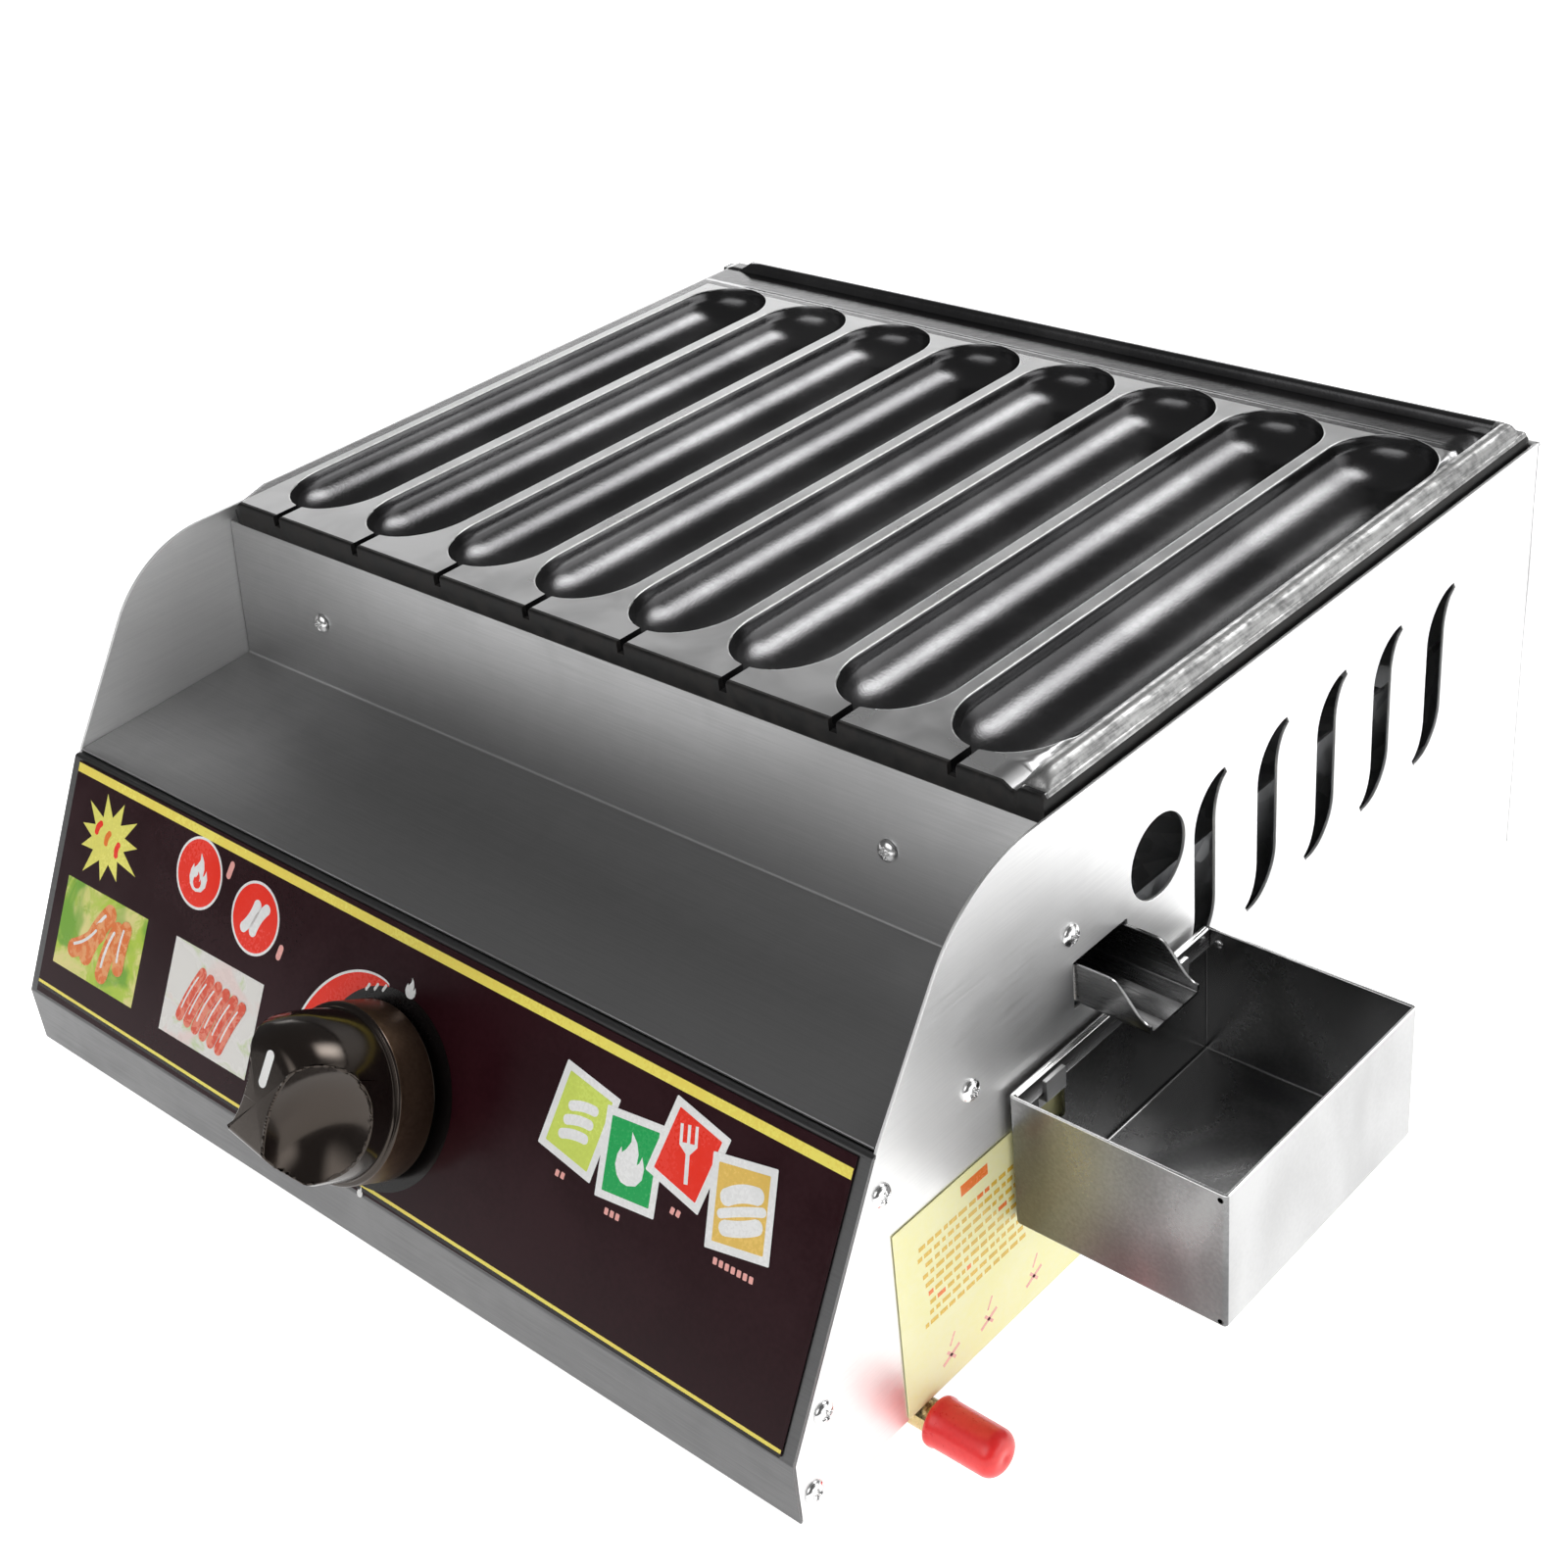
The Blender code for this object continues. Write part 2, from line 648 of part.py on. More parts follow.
def plate_rail(name, side):
    """Angle that carries the plate's rim inside a side panel."""
    top = FOOT_H + PLATE_RIM_UNDER - GAP
    outer = side * (INNER_W - GAP)
    outline = [(outer, top), (outer, top - 16 * MM), (outer - side * 1.5 * MM, top - 16 * MM),
               (outer - side * 1.5 * MM, top - 1.5 * MM),
               (outer - side * 12 * MM, top - 1.5 * MM), (outer - side * 12 * MM, top)]
    return prism(name, "Y", outline, 40 * MM, 285 * MM, GALVANISED)


# ---------------------------------------------------------------- grease path
def trough_floor(x):
    """Height of the trough's floor: it falls evenly to the right, out over the spout."""
    share = (x + INNER_W) / (HALF_W + INNER_W)
    return FOOT_H + SPOUT_Z[0] + TROUGH_FALL * (1 - share)


def grease_trough():
    """Channel behind the riser; its right end is the open spout."""
    front, rear = SPOUT_Y
    start = -INNER_W + 4 * MM
    reach = HALF_W + SPOUT_REACH
    straight = HALF_W + 12 * MM
    stations = [start, 0.0, HALF_W, straight]
    walls = [FOOT_H + SPOUT_Z[1]] * 4
    for step in range(1, 7):
        t = step / 6
        stations.append(straight + (reach - straight) * t)
        drop = (1 - math.cos(math.pi * t)) / 2
        walls.append(FOOT_H + SPOUT_Z[1] - drop * 13.2 * MM)
    rings = []
    for x, wall in zip(stations, walls):
        floor = trough_floor(x)
        wall = max(wall, floor + SHEET + 0.4 * MM)
        rings.append([Vector((x, front, wall)), Vector((x, front, floor - SHEET)),
                      Vector((x, rear, floor - SHEET)), Vector((x, rear, wall)),
                      Vector((x, rear - SHEET, wall)), Vector((x, rear - SHEET, floor)),
                      Vector((x, front + SHEET, floor)), Vector((x, front + SHEET, wall))])
    bm = bmesh.new()
    loft(bm, rings)
    trough = finish("grease_trough", bm, STAINLESS)
    cap = cutter("grease_trough_end", lambda part: add_prism(
        part, "X", rectangle(front, rear, trough_floor(start) - SHEET, FOOT_H + SPOUT_Z[1]),
        start - SHEET / 2, start + SHEET / 2))
    boolean(trough, cap, "UNION")
    return trough


def drip_box():
    """Open box with two windows in its inner wall for the hooks."""
    low_x = HALF_W + BOX_STANDOFF
    high_x = low_x + BOX_W
    low_z, high_z = FOOT_H + BOX_Z[0], FOOT_H + BOX_Z[1]
    box = prism("drip_box", "Z", rectangle(low_x, high_x, *BOX_Y), low_z, high_z, STAINLESS)

    def hollow(bm):
        add_prism(bm, "Z", rectangle(low_x + BOX_WALL, high_x - BOX_WALL, BOX_Y[0] + BOX_WALL,
                                     BOX_Y[1] - BOX_WALL), low_z + BOX_WALL, high_z + 5 * MM)

    def windows(bm):
        top = FOOT_H + HOOK_TOP + GAP
        for centre in HOOK_Y:
            add_prism(bm, "X", rectangle(centre - WINDOW_W / 2, centre + WINDOW_W / 2,
                                         top - WINDOW_H, top),
                      low_x - 3 * MM, low_x + 3 * BOX_WALL)

    boolean(box, cutter("drip_box_hollow", hollow))
    boolean(box, cutter("drip_box_windows", windows))
    return box


def box_hook(name, centre):
    """Hook on the right panel: arm through the window, tip turned up inside the box."""
    thickness = 1.5 * MM
    wall_in = HALF_W + BOX_STANDOFF + BOX_WALL
    top = FOOT_H + HOOK_TOP
    outline = [(HALF_W + GAP, top - 6 * MM), (HALF_W + GAP + thickness, top - 6 * MM),
               (HALF_W + GAP + thickness, top - thickness),
               (wall_in + GAP * 2 + thickness, top - thickness),
               (wall_in + GAP * 2 + thickness, top + HOOK_RISE),
               (wall_in + GAP * 2, top + HOOK_RISE), (wall_in + GAP * 2, top),
               (HALF_W + GAP, top)]
    return prism(name, "Y", outline, centre - HOOK_W / 2, centre + HOOK_W / 2, STAINLESS)


# ---------------------------------------------------------------- knob and valve
def knob():
    """Skirt and pointer grip in one moulding; two bowl-shaped scoops leave the grip bar."""
    profile = [(0, KNOB_TOP), (19 * MM, KNOB_TOP), (22 * MM, 51.6 * MM), (25.4 * MM, 47.5 * MM),
               (27.8 * MM, 41 * MM), (28.6 * MM, 34 * MM), (28.8 * MM, KNOB_STEP),
               (KNOB_R - 1.2 * MM, KNOB_STEP), (KNOB_R, KNOB_STEP - 1.2 * MM), (KNOB_R, KNOB_FOOT),
               (KNOB_R - 2.4 * MM, KNOB_FOOT), (KNOB_R - 2.4 * MM, KNOB_STEP - 5 * MM),
               (9 * MM, KNOB_STEP - 5 * MM), (9 * MM, KNOB_FOOT + 2 * MM),
               (STEM_R + GAP, KNOB_FOOT + 2 * MM), (STEM_R + GAP, KNOB_BORE), (0, KNOB_BORE)]
    body = lathe("knob", profile, BLACK, KNOB_FRAME, 36)
    bowl = [(12, 28.6), (17, 29), (22.5, 31), (27, 34.5), (30.5, 39), (33, 44), (34.4, 49),
            (35, 53.5), (35, 60)]
    slope = [(-40, 20.6), (-28.4, 20.6), (-24.5, 32), (-21, 40), (-18.5, 46), (-16, 50.5),
             (-13.5, 53.5), (-13.5, 60), (-40, 60)]

    def scoops(bm):
        for side in (-1, 1):
            loft(bm, [[Vector((a, b, height * MM)) for a, b in
                       circle((side * SCOOP_X, 0), radius * MM, 36)] for radius, height in bowl])

    def low_end(bm):
        add_prism(bm, "X", [(a * MM, b * MM) for a, b in slope], -40 * MM, 40 * MM)

    for name, build in (("knob_scoops", scoops), ("knob_low_end", low_end)):
        tool = cutter(name, build)
        tool.matrix_world = KNOB_FRAME @ Matrix.Rotation(math.radians(KNOB_TURN), 4, "Z")
        boolean(body, tool)
    return body


def valve():
    """Valve body, sliding plunger, stem and return spring, all on the knob's axis."""
    low, high = VALVE_Z
    body_profile = [(0, low), (VALVE_R, low), (VALVE_R, high - 6 * MM), (10 * MM, high - 6 * MM),
                    (10 * MM, high), (VALVE_BORE_R, high), (VALVE_BORE_R, BORE_FLOOR),
                    (0, BORE_FLOOR)]
    lathe("gas_valve_body", body_profile, BRASS, KNOB_FRAME)
    plunger_low = -20 * MM
    lathe("valve_plunger", [(STEM_R + GAP, plunger_low), (VALVE_BORE_R - GAP, plunger_low),
                            (VALVE_BORE_R - GAP, -11 * MM), (STEM_R + GAP, -11 * MM)],
          BRASS, KNOB_FRAME)
    lathe("valve_stem", [(0, plunger_low), (STEM_R, plunger_low),
                         (STEM_R, KNOB_BORE - GAP), (0, KNOB_BORE - GAP)],
          STAINLESS, KNOB_FRAME, SMALL_SIDES)
    turns, per_turn = 4, 8
    bottom, top = BORE_FLOOR + 1 * MM, plunger_low - 1 * MM
    route = []
    for step in range(turns * per_turn + 1):
        turn = 2 * math.pi * step / per_turn
        rise = bottom + (top - bottom) * step / (turns * per_turn)
        route.append(Vector((5 * MM * math.cos(turn), 5 * MM * math.sin(turn), rise)))
    rod("valve_spring", route, 0.6 * MM, STAINLESS, 4, KNOB_FRAME)


def valve_outlet_centre():
    """Where the valve's gas way leaves, on the burner mixer's axis."""
    return KNOB_FRAME @ Vector((0, 0, (VALVE_Z[0] + VALVE_Z[1]) / 2 - 14 * MM))


def gas_train():
    """Bracket, elbow, injector, supply pipe, inlet fitting and its cap."""
    outline = rectangle(-26 * MM, 26 * MM, -20 * MM, 20 * MM)
    plate = prism("valve_bracket", "Z", outline, VALVE_Z[1] - 3 * MM, VALVE_Z[1] - 1.5 * MM,
                  GALVANISED, KNOB_FRAME)
    hole = cutter("valve_bracket_hole", lambda bm: add_prism(
        bm, "Z", circle((0, 0), 10 * MM + GAP, SIDES), VALVE_Z[1] - 8 * MM, VALVE_Z[1] + 4 * MM))
    hole.matrix_world = KNOB_FRAME
    boolean(plate, hole)

    centre = valve_outlet_centre()
    elbow = bpy.data.objects["gas_valve_body"]
    outlet = cutter("gas_valve_outlet", lambda bm: loft(bm, sweep_rings(
        [centre, centre + Vector((0, 27 * MM, 0))], 6 * MM, SMALL_SIDES)))
    boolean(elbow, outlet, "UNION")
    inlet = cutter("gas_valve_inlet", lambda bm: loft(bm, sweep_rings(
        [centre, centre - Vector((0, 0, 22 * MM))], 6.5 * MM, SMALL_SIDES)))
    boolean(elbow, inlet, "UNION")

    nozzle = centre + Vector((0, 27 * MM + GAP, 0))
    turn = Matrix.Rotation(-math.pi / 2, 4, "X")
    lathe("gas_injector", [(0, 0), (5 * MM, 0), (5 * MM, 6 * MM), (3.4 * MM, 8 * MM),
                           (3.4 * MM, 12 * MM), (0.8 * MM, 13 * MM), (0.6 * MM, 8 * MM),
                           (0, 7.4 * MM)], BRASS, moved(nozzle) @ turn, SMALL_SIDES)

    foot_of_valve = centre - Vector((0, 0, 22 * MM + GAP))
    level = FOOT_H + INLET_Z
    route = bent_pipe([foot_of_valve, Vector((foot_of_valve.x, foot_of_valve.y, level)),
                       Vector((foot_of_valve.x + 30 * MM, foot_of_valve.y, level)),
                       Vector((foot_of_valve.x + 60 * MM, INLET_Y, level)),
                       Vector((HALF_W - 22 * MM, INLET_Y, level))], 9 * MM, 4)
    rod("gas_supply_pipe", route, PIPE_R, BRASS)

    along_x = Matrix.Rotation(math.pi / 2, 4, "Y")
    start = Vector((HALF_W - 22 * MM + GAP, INLET_Y, level))
    lathe("gas_inlet_fitting", [(0, 0), (6.6 * MM, 0), (6.6 * MM, 9 * MM), (5.4 * MM, 10 * MM),
                                (5.4 * MM, 45 * MM), (3.5 * MM, 45 * MM), (3.5 * MM, 12 * MM),
                                (0, 12 * MM)], BRASS, moved(start) @ along_x, SIDES)
    cap_start = Vector((HALF_W + 3.2 * MM, INLET_Y, level))
    wall = 5.4 * MM + GAP
    lathe("inlet_cap", [(0, CAP_LENGTH), (CAP_R - 4 * MM, CAP_LENGTH),
                        (CAP_R - 1.2 * MM, CAP_LENGTH - 1.2 * MM), (CAP_R, CAP_LENGTH - 4 * MM),
                        (CAP_R, 0), (wall, 0), (wall, CAP_LENGTH - 3 * MM),
                        (0, CAP_LENGTH - 3 * MM)], RED, moved(cap_start) @ along_x, SIDES)


# ---------------------------------------------------------------- burner
def window_sectors(bm, low, high):
    """Three round air ways, shared by the shutter and the mixer's mouth."""
    for index in range(3):
        turn = 2 * math.pi * index / 3 + math.pi / 2
        centre = (8.6 * MM * math.cos(turn), 8.6 * MM * math.sin(turn))
        add_prism(bm, "Z", circle(centre, 3 * MM, SMALL_SIDES), low, high)


def burner():
    """Shutter, mixer tube, cross tube and two ported arms on their saddles."""
    outlet = valve_outlet_centre()
    mouth_y = outlet.y + 27 * MM + 16 * MM
    axis = Vector((outlet.x, 0, outlet.z))
    turn = Matrix.Rotation(-math.pi / 2, 4, "X")

    shutter_frame = moved(Vector((axis.x, mouth_y, axis.z))) @ turn
    lathe("air_shutter", [(4.2 * MM, -2.4 * MM), (SHUTTER_R, -2.4 * MM), (SHUTTER_R, -1.2 * MM),
                          (4.2 * MM, -1.2 * MM)], GALVANISED, shutter_frame)
    tool = cutter("air_shutter_ways", lambda bm: window_sectors(bm, -6 * MM, 2 * MM))
    tool.matrix_world = shutter_frame
    boolean(bpy.data.objects["air_shutter"], tool)

    top_z = FOOT_H + BURNER_Z - 10 * MM - GAP
    route = bent_pipe([Vector((axis.x, mouth_y - 0.8 * MM, axis.z)),
                       Vector((axis.x, CROSS_Y, axis.z)), Vector((axis.x, CROSS_Y, top_z))],
                      28 * MM, 6)
    mixer = rod("burner_mixer", route, MIXER_R, IRON, 16)
    bore = cutter("burner_mixer_bore", lambda bm: loft(bm, sweep_rings(
        [Vector((axis.x, mouth_y + 1 * MM, axis.z)), Vector((axis.x, 90 * MM, axis.z))],
        MIXER_R - 1.6 * MM, 16)))
    mouth = cutter("burner_mixer_mouth", lambda bm: (
        add_prism(bm, "Z", circle((0, 0), 4.6 * MM, SMALL_SIDES), -6 * MM, 6 * MM)))
    mouth.matrix_world = shutter_frame
    ways = cutter("burner_mixer_ways", lambda bm: window_sectors(bm, -6 * MM, 6 * MM))
    ways.matrix_world = shutter_frame
    boolean(mixer, bore)
    boolean(mixer, mouth)
    boolean(mixer, ways)

    level = FOOT_H + BURNER_Z
    reach = ARM_X - ARM_R - GAP
    rod("burner_cross_tube", [Vector((-reach, CROSS_Y, level)), Vector((reach, CROSS_Y, level))],
        10 * MM, IRON, SIDES)
    for side, name in ((-1, "burner_arm_left"), (1, "burner_arm_right")):
        x = side * ARM_X
        arm = rod(name, [Vector((x, ARM_Y[0], level)), Vector((x, ARM_Y[1], level))],
                  ARM_R, IRON, SIDES)

        def ports(bm, x=x):
            for index in range(9):
                y = ARM_Y[0] + 14 * MM + index * 24 * MM
                add_prism(bm, "Y", rectangle(x - 6 * MM, x + 6 * MM, level + ARM_R - 3 * MM,
                                             level + ARM_R + 4 * MM), y - 1 * MM, y + 1 * MM)

        boolean(arm, cutter(name + "_ports", ports))
    for y, name in ((80 * MM, "burner_saddle_front"), (235 * MM, "burner_saddle_rear")):
        low = FOOT_H + SHIELD_Z + SHEET + GAP
        high = level - ARM_R - GAP
        path = [(y + 14 * MM, low), (y, low), (y, high), (y + 10 * MM, high)]
        prism(name, "X", folded(list(reversed(path)), 1.5 * MM), -115 * MM, 115 * MM, GALVANISED)


def heat_shield():
    """Bright tray under the burner, its sides turned up inside the panels."""
    wide = SHIELD_HALF_W
    path = [(-wide, FOOT_H + SHIELD_TOP), (-wide, FOOT_H + SHIELD_Z),
            (wide, FOOT_H + SHIELD_Z), (wide, FOOT_H + SHIELD_TOP)]
    shield = prism("heat_shield", "Y", folded(path, SHEET), 42 * MM, 290 * MM, GALVANISED)
    outlet = valve_outlet_centre()
    hole = cutter("heat_shield_hole", lambda bm: add_prism(
        bm, "Z", rectangle(outlet.x - 16 * MM, outlet.x + 16 * MM, CROSS_Y - 34 * MM,
                           CROSS_Y + 16 * MM), FOOT_H + SHIELD_Z - 6 * MM,
        FOOT_H + SHIELD_Z + 6 * MM))
    boolean(shield, hole)
    for side, name in ((-1, "shield_leg_left"), (1, "shield_leg_right")):
        x = side * 150 * MM
        low, high = FOOT_H + 2 * MM + SHEET + GAP, FOOT_H + SHIELD_Z - GAP
        path = [(x + 12 * MM, low), (x, low), (x, high), (x + 12 * MM, high)]
        prism(name, "Y", folded(list(reversed(path)), SHEET), 60 * MM, 280 * MM, GALVANISED)


def igniter():
    """Spark electrode beside the right arm and its lead from the valve."""
    level = FOOT_H + BURNER_Z
    tip = Vector((ARM_X + ARM_R + 8 * MM, 62 * MM, level - 18 * MM))
    lathe("igniter_electrode", [(0, 0), (3.5 * MM, 0), (3.5 * MM, 24 * MM), (2 * MM, 26 * MM),
                                (1 * MM, 26 * MM), (1 * MM, 34 * MM), (0, 34 * MM)],
          CERAMIC, moved(tip), SMALL_SIDES)
    start = KNOB_FRAME @ Vector((VALVE_R + 1.5 * MM, 0, VALVE_Z[0] + 6 * MM))
    points = [start, start + Vector((30 * MM, 8 * MM, 10 * MM)),
              Vector((90 * MM, -40 * MM, FOOT_H + 60 * MM)),
              Vector((tip.x, 20 * MM, FOOT_H + 66 * MM)),
              Vector((tip.x, 55 * MM, FOOT_H + 64.5 * MM)),
              tip - Vector((0, 0, 1.2 * MM))]
    rod("igniter_lead", smooth_path(points, 12 * MM), 1.2 * MM, BLACK, 6)


# ---------------------------------------------------------------- assembly
def assemble():
    side_panel("side_panel_right", 1, True)
    side_panel("side_panel_left", -1, False)
    back_panel()
    base_pan()
    front_tray()
    fascia()
    overlay()
    prism("side_label", "X", rectangle(-85 * MM, 4 * MM, FOOT_H + 1 * MM, FOOT_H + 76 * MM),
          HALF_W + GAP, HALF_W + GAP + 0.3 * MM, LABEL)
    grill_plate()
    plate_rail("plate_rail_left", -1)
    plate_rail("plate_rail_right", 1)
    grease_trough()
    drip_box()
    box_hook("box_hook_front", HOOK_Y[0])
    box_hook("box_hook_rear", HOOK_Y[1])
    knob()
    valve()
    gas_train()
    burner()
    heat_shield()
    igniter()
    foot_x = HALF_W - 35 * MM
    for name, x, y in (("foot_front_left", -foot_x, -10 * MM), ("foot_front_right", foot_x, -10 * MM),
                       ("foot_rear_left", -foot_x, 262 * MM), ("foot_rear_right", foot_x, 262 * MM)):
        foot(name, x, y)
    for side, label in ((-1, "left"), (1, "right")):
        for index, (y, z) in enumerate(PANEL_SCREWS):
            place = (side * HALF_W, *casing(y * MM, z * MM))
            dome_screw(f"panel_screw_{label}_{index + 1}", place, (side, 0, 0))
    for index, x in enumerate(RISER_SCREWS):
        share = (141 * MM - RISER_FOOT[1]) / (RISER_TOP[1] - RISER_FOOT[1])
        y = RISER_FOOT[0] * (1 - share)
        dome_screw(f"riser_screw_{index + 1}", (x, y - 0.1 * MM, FOOT_H + 141 * MM), (0, -1, 0.1))
    for index, (x, z) in enumerate(back_screws()):
        dome_screw(f"back_screw_{index + 1}", (x, REAR_Y, z), (0, 1, 0))


def centre_on_footprint():
    """Move everything so the bounding box stands centred on the origin."""
    bpy.context.view_layer.update()
    shapes = bpy.context.evaluated_depsgraph_get()
    points = [one.matrix_world @ vertex.co for one in bpy.data.objects if not one.hide_render
              for vertex in one.evaluated_get(shapes).data.vertices]
    shift = Vector((-(min(p.x for p in points) + max(p.x for p in points)) / 2,
                    -(min(p.y for p in points) + max(p.y for p in points)) / 2, 0))
    for one in bpy.data.objects:
        one.matrix_world = Matrix.Translation(shift) @ one.matrix_world


assemble()
centre_on_footprint()
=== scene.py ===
import json
import math
import random

import bmesh
import bpy
import numpy as np
from mathutils import Matrix, Vector


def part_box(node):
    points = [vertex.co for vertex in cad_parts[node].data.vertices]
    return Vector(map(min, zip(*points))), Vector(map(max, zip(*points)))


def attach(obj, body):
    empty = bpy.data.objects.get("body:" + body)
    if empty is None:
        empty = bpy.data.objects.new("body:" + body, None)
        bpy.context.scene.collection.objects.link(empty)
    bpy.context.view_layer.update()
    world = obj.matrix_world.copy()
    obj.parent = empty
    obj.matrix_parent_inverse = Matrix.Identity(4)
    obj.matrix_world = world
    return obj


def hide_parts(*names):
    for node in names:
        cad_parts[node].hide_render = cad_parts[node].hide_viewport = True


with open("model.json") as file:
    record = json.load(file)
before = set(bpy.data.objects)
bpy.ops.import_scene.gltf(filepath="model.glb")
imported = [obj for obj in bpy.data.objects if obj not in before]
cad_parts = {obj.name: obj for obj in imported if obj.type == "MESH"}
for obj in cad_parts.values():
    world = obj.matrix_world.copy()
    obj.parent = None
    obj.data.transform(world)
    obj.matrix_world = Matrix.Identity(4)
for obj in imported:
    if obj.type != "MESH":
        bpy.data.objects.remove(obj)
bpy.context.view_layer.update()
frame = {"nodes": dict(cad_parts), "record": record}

MM = 0.001
NODES = frame["nodes"]

# ------------------------------------------------------------------ places
# The casing frame: x from the middle of the casing, y from the riser's top,
# z over the casing's bottom edge, all in millimetres.
HALF_W = 200.0
REAR_Y = 299.0
CASE_H = 175.6
SHEET = 1.2
GAP = 0.3
INNER = HALF_W - SHEET - GAP
ORIGIN = Vector((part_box("side_panel_right")[1].x - HALF_W * MM,
                 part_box("back_panel")[1].y - REAR_Y * MM,
                 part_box("side_panel_right")[0].z))
SHELF_FRONT = (-88.5, 110.3)
LIP_TOP = (-135.3, 24.3)
RISER_FOOT = (-5.7, 114.4)
RISER_TOP = (0.0, 170.4)


def at(x, y, z):
    """A point of the casing frame, in the row frame."""
    return Vector((x * MM, y * MM, z * MM)) + ORIGIN


def fascia_frame(x, down):
    """On the fascia: local X right, Y up the slope, Z outward, in millimetres."""
    top, low = at(0, *SHELF_FRONT), at(0, *LIP_TOP)
    up = (top - low).normalized()
    right = Vector((1, 0, 0))
    out = right.cross(up)
    turn = Matrix((right, up, out)).transposed().to_4x4()
    place = top - up * (down * MM) + right * (x * MM)
    return Matrix.Translation(place) @ turn @ Matrix.Scale(MM, 4)


def fascia_y(z, inset):
    rise, run = SHELF_FRONT[1] - LIP_TOP[1], SHELF_FRONT[0] - LIP_TOP[0]
    return LIP_TOP[0] + run * (z - LIP_TOP[1]) / rise + inset * math.hypot(rise, run) / rise


KNOB_FRAME = fascia_frame(3, 59)
KNOB_FRAME.translation = frame["record"]["behaviour"]["joints"][3]["pos_m"]


# ------------------------------------------------------------------ materials
class Look:
    """A node material, built up from a Principled shader."""

    def __init__(self, name):
        self.made = bpy.data.materials.new(name)
        self.made.use_nodes = True
        self.tree = self.made.node_tree
        self.shader = self.tree.nodes["Principled BSDF"]
        self.place = self.add("ShaderNodeTexCoord").outputs["Object"]

    def add(self, kind, **settings):
        node = self.tree.nodes.new(kind)
        for key, value in settings.items():
            setattr(node, key, value)
        return node

    def link(self, source, target):
        self.tree.links.new(source, target)

    def stretched(self, scale, turn=(0, 0, 0)):
        mapping = self.add("ShaderNodeMapping")
        mapping.inputs["Scale"].default_value = scale
        mapping.inputs["Rotation"].default_value = turn
        self.link(self.place, mapping.inputs["Vector"])
        return mapping.outputs["Vector"]

    def noise(self, scale, detail=3.0, roughness=0.5, distortion=0.0, vector=None):
        node = self.add("ShaderNodeTexNoise")
        node.inputs["Scale"].default_value = scale
        node.inputs["Detail"].default_value = detail
        node.inputs["Roughness"].default_value = roughness
        node.inputs["Distortion"].default_value = distortion
        self.link(vector or self.place, node.inputs["Vector"])
        return node.outputs["Fac"]

    def ranged(self, value, low, high, to_low=0.0, to_high=1.0):
        node = self.add("ShaderNodeMapRange", interpolation_type="SMOOTHSTEP")
        self.link(value, node.inputs["Value"])
        for key, number in (("From Min", low), ("From Max", high),
                            ("To Min", to_low), ("To Max", to_high)):
            node.inputs[key].default_value = number
        return node.outputs["Result"]

    def maths(self, operation, first, second):
        node = self.add("ShaderNodeMath", operation=operation)
        for socket, value in zip(node.inputs, (first, second)):
            if isinstance(value, (int, float)):
                socket.default_value = value
            else:
                self.link(value, socket)
        return node.outputs[0]

    def mixed(self, share, first, second):
        node = self.add("ShaderNodeMix", data_type="RGBA")
        self.link(share, node.inputs["Factor"])
        for socket, value in ((node.inputs[6], first), (node.inputs[7], second)):
            if isinstance(value, tuple):
                socket.default_value = (*value, 1)
            else:
                self.link(value, socket)
        return node.outputs[2]

    def bump(self, height, strength, distance):
        node = self.add("ShaderNodeBump")
        node.inputs["Strength"].default_value = strength
        node.inputs["Distance"].default_value = distance
        self.link(height, node.inputs["Height"])
        self.link(node.outputs["Normal"], self.shader.inputs["Normal"])

    def weighted(self, *parts):
        """Sum of textures, each times its share."""
        scaled = [self.maths("MULTIPLY", value, share) for value, share in parts]
        total = scaled.pop()
        while scaled:
            total = self.maths("ADD", scaled.pop(), total)
        return total

    def colour(self, value, low, high, first, second):
        """Base colour that goes from first to second as a texture's value goes low to high."""
        self.link(self.mixed(self.ranged(value, low, high), first, second),
                  self.shader.inputs["Base Color"])

    def rough(self, value, low, high, to_low, to_high):
        self.link(self.ranged(value, low, high, to_low, to_high), self.shader.inputs["Roughness"])

    def set(self, **values):
        for key, value in values.items():
            self.shader.inputs[key.replace("_", " ")].default_value = value


def brushed(name, dark, light, rough, along="X", bump=0.12):
    """Sheet metal with a fine rolled grain, faint smears and a few dull patches."""
    look = Look(name)
    look.set(Metallic=1.0)
    grain = look.noise(1500, 4, 0.65, 0, look.stretched([0.02 if axis == along else 1.0
                                                         for axis in "XYZ"]))
    cloud = look.noise(9, 3, 0.55, 0.4)
    smear = look.noise(42, 2, 0.5, 1.2)
    share = look.weighted((grain, 0.45), (cloud, 0.35), (smear, 0.2))
    look.colour(share, 0.36, 0.64, dark, light)
    look.rough(share, 0.36, 0.64, rough[1], rough[0])
    look.bump(grain, bump, 4e-5)
    return look.made


def smudged(name, dark, light, rough):
    """Smooth sheet with wide soft smudges of handling and grease."""
    look = Look(name)
    look.set(Metallic=1.0)
    wide = look.noise(20, 2, 0.45, 0.7, look.stretched((1.0, 1.0, 0.45)))
    fine = look.noise(700, 3, 0.6)
    share = look.weighted((wide, 0.85), (fine, 0.15))
    look.colour(share, 0.36, 0.66, dark, light)
    look.rough(share, 0.36, 0.66, rough[1], rough[0])
    look.bump(fine, 0.05, 4e-5)
    return look.made


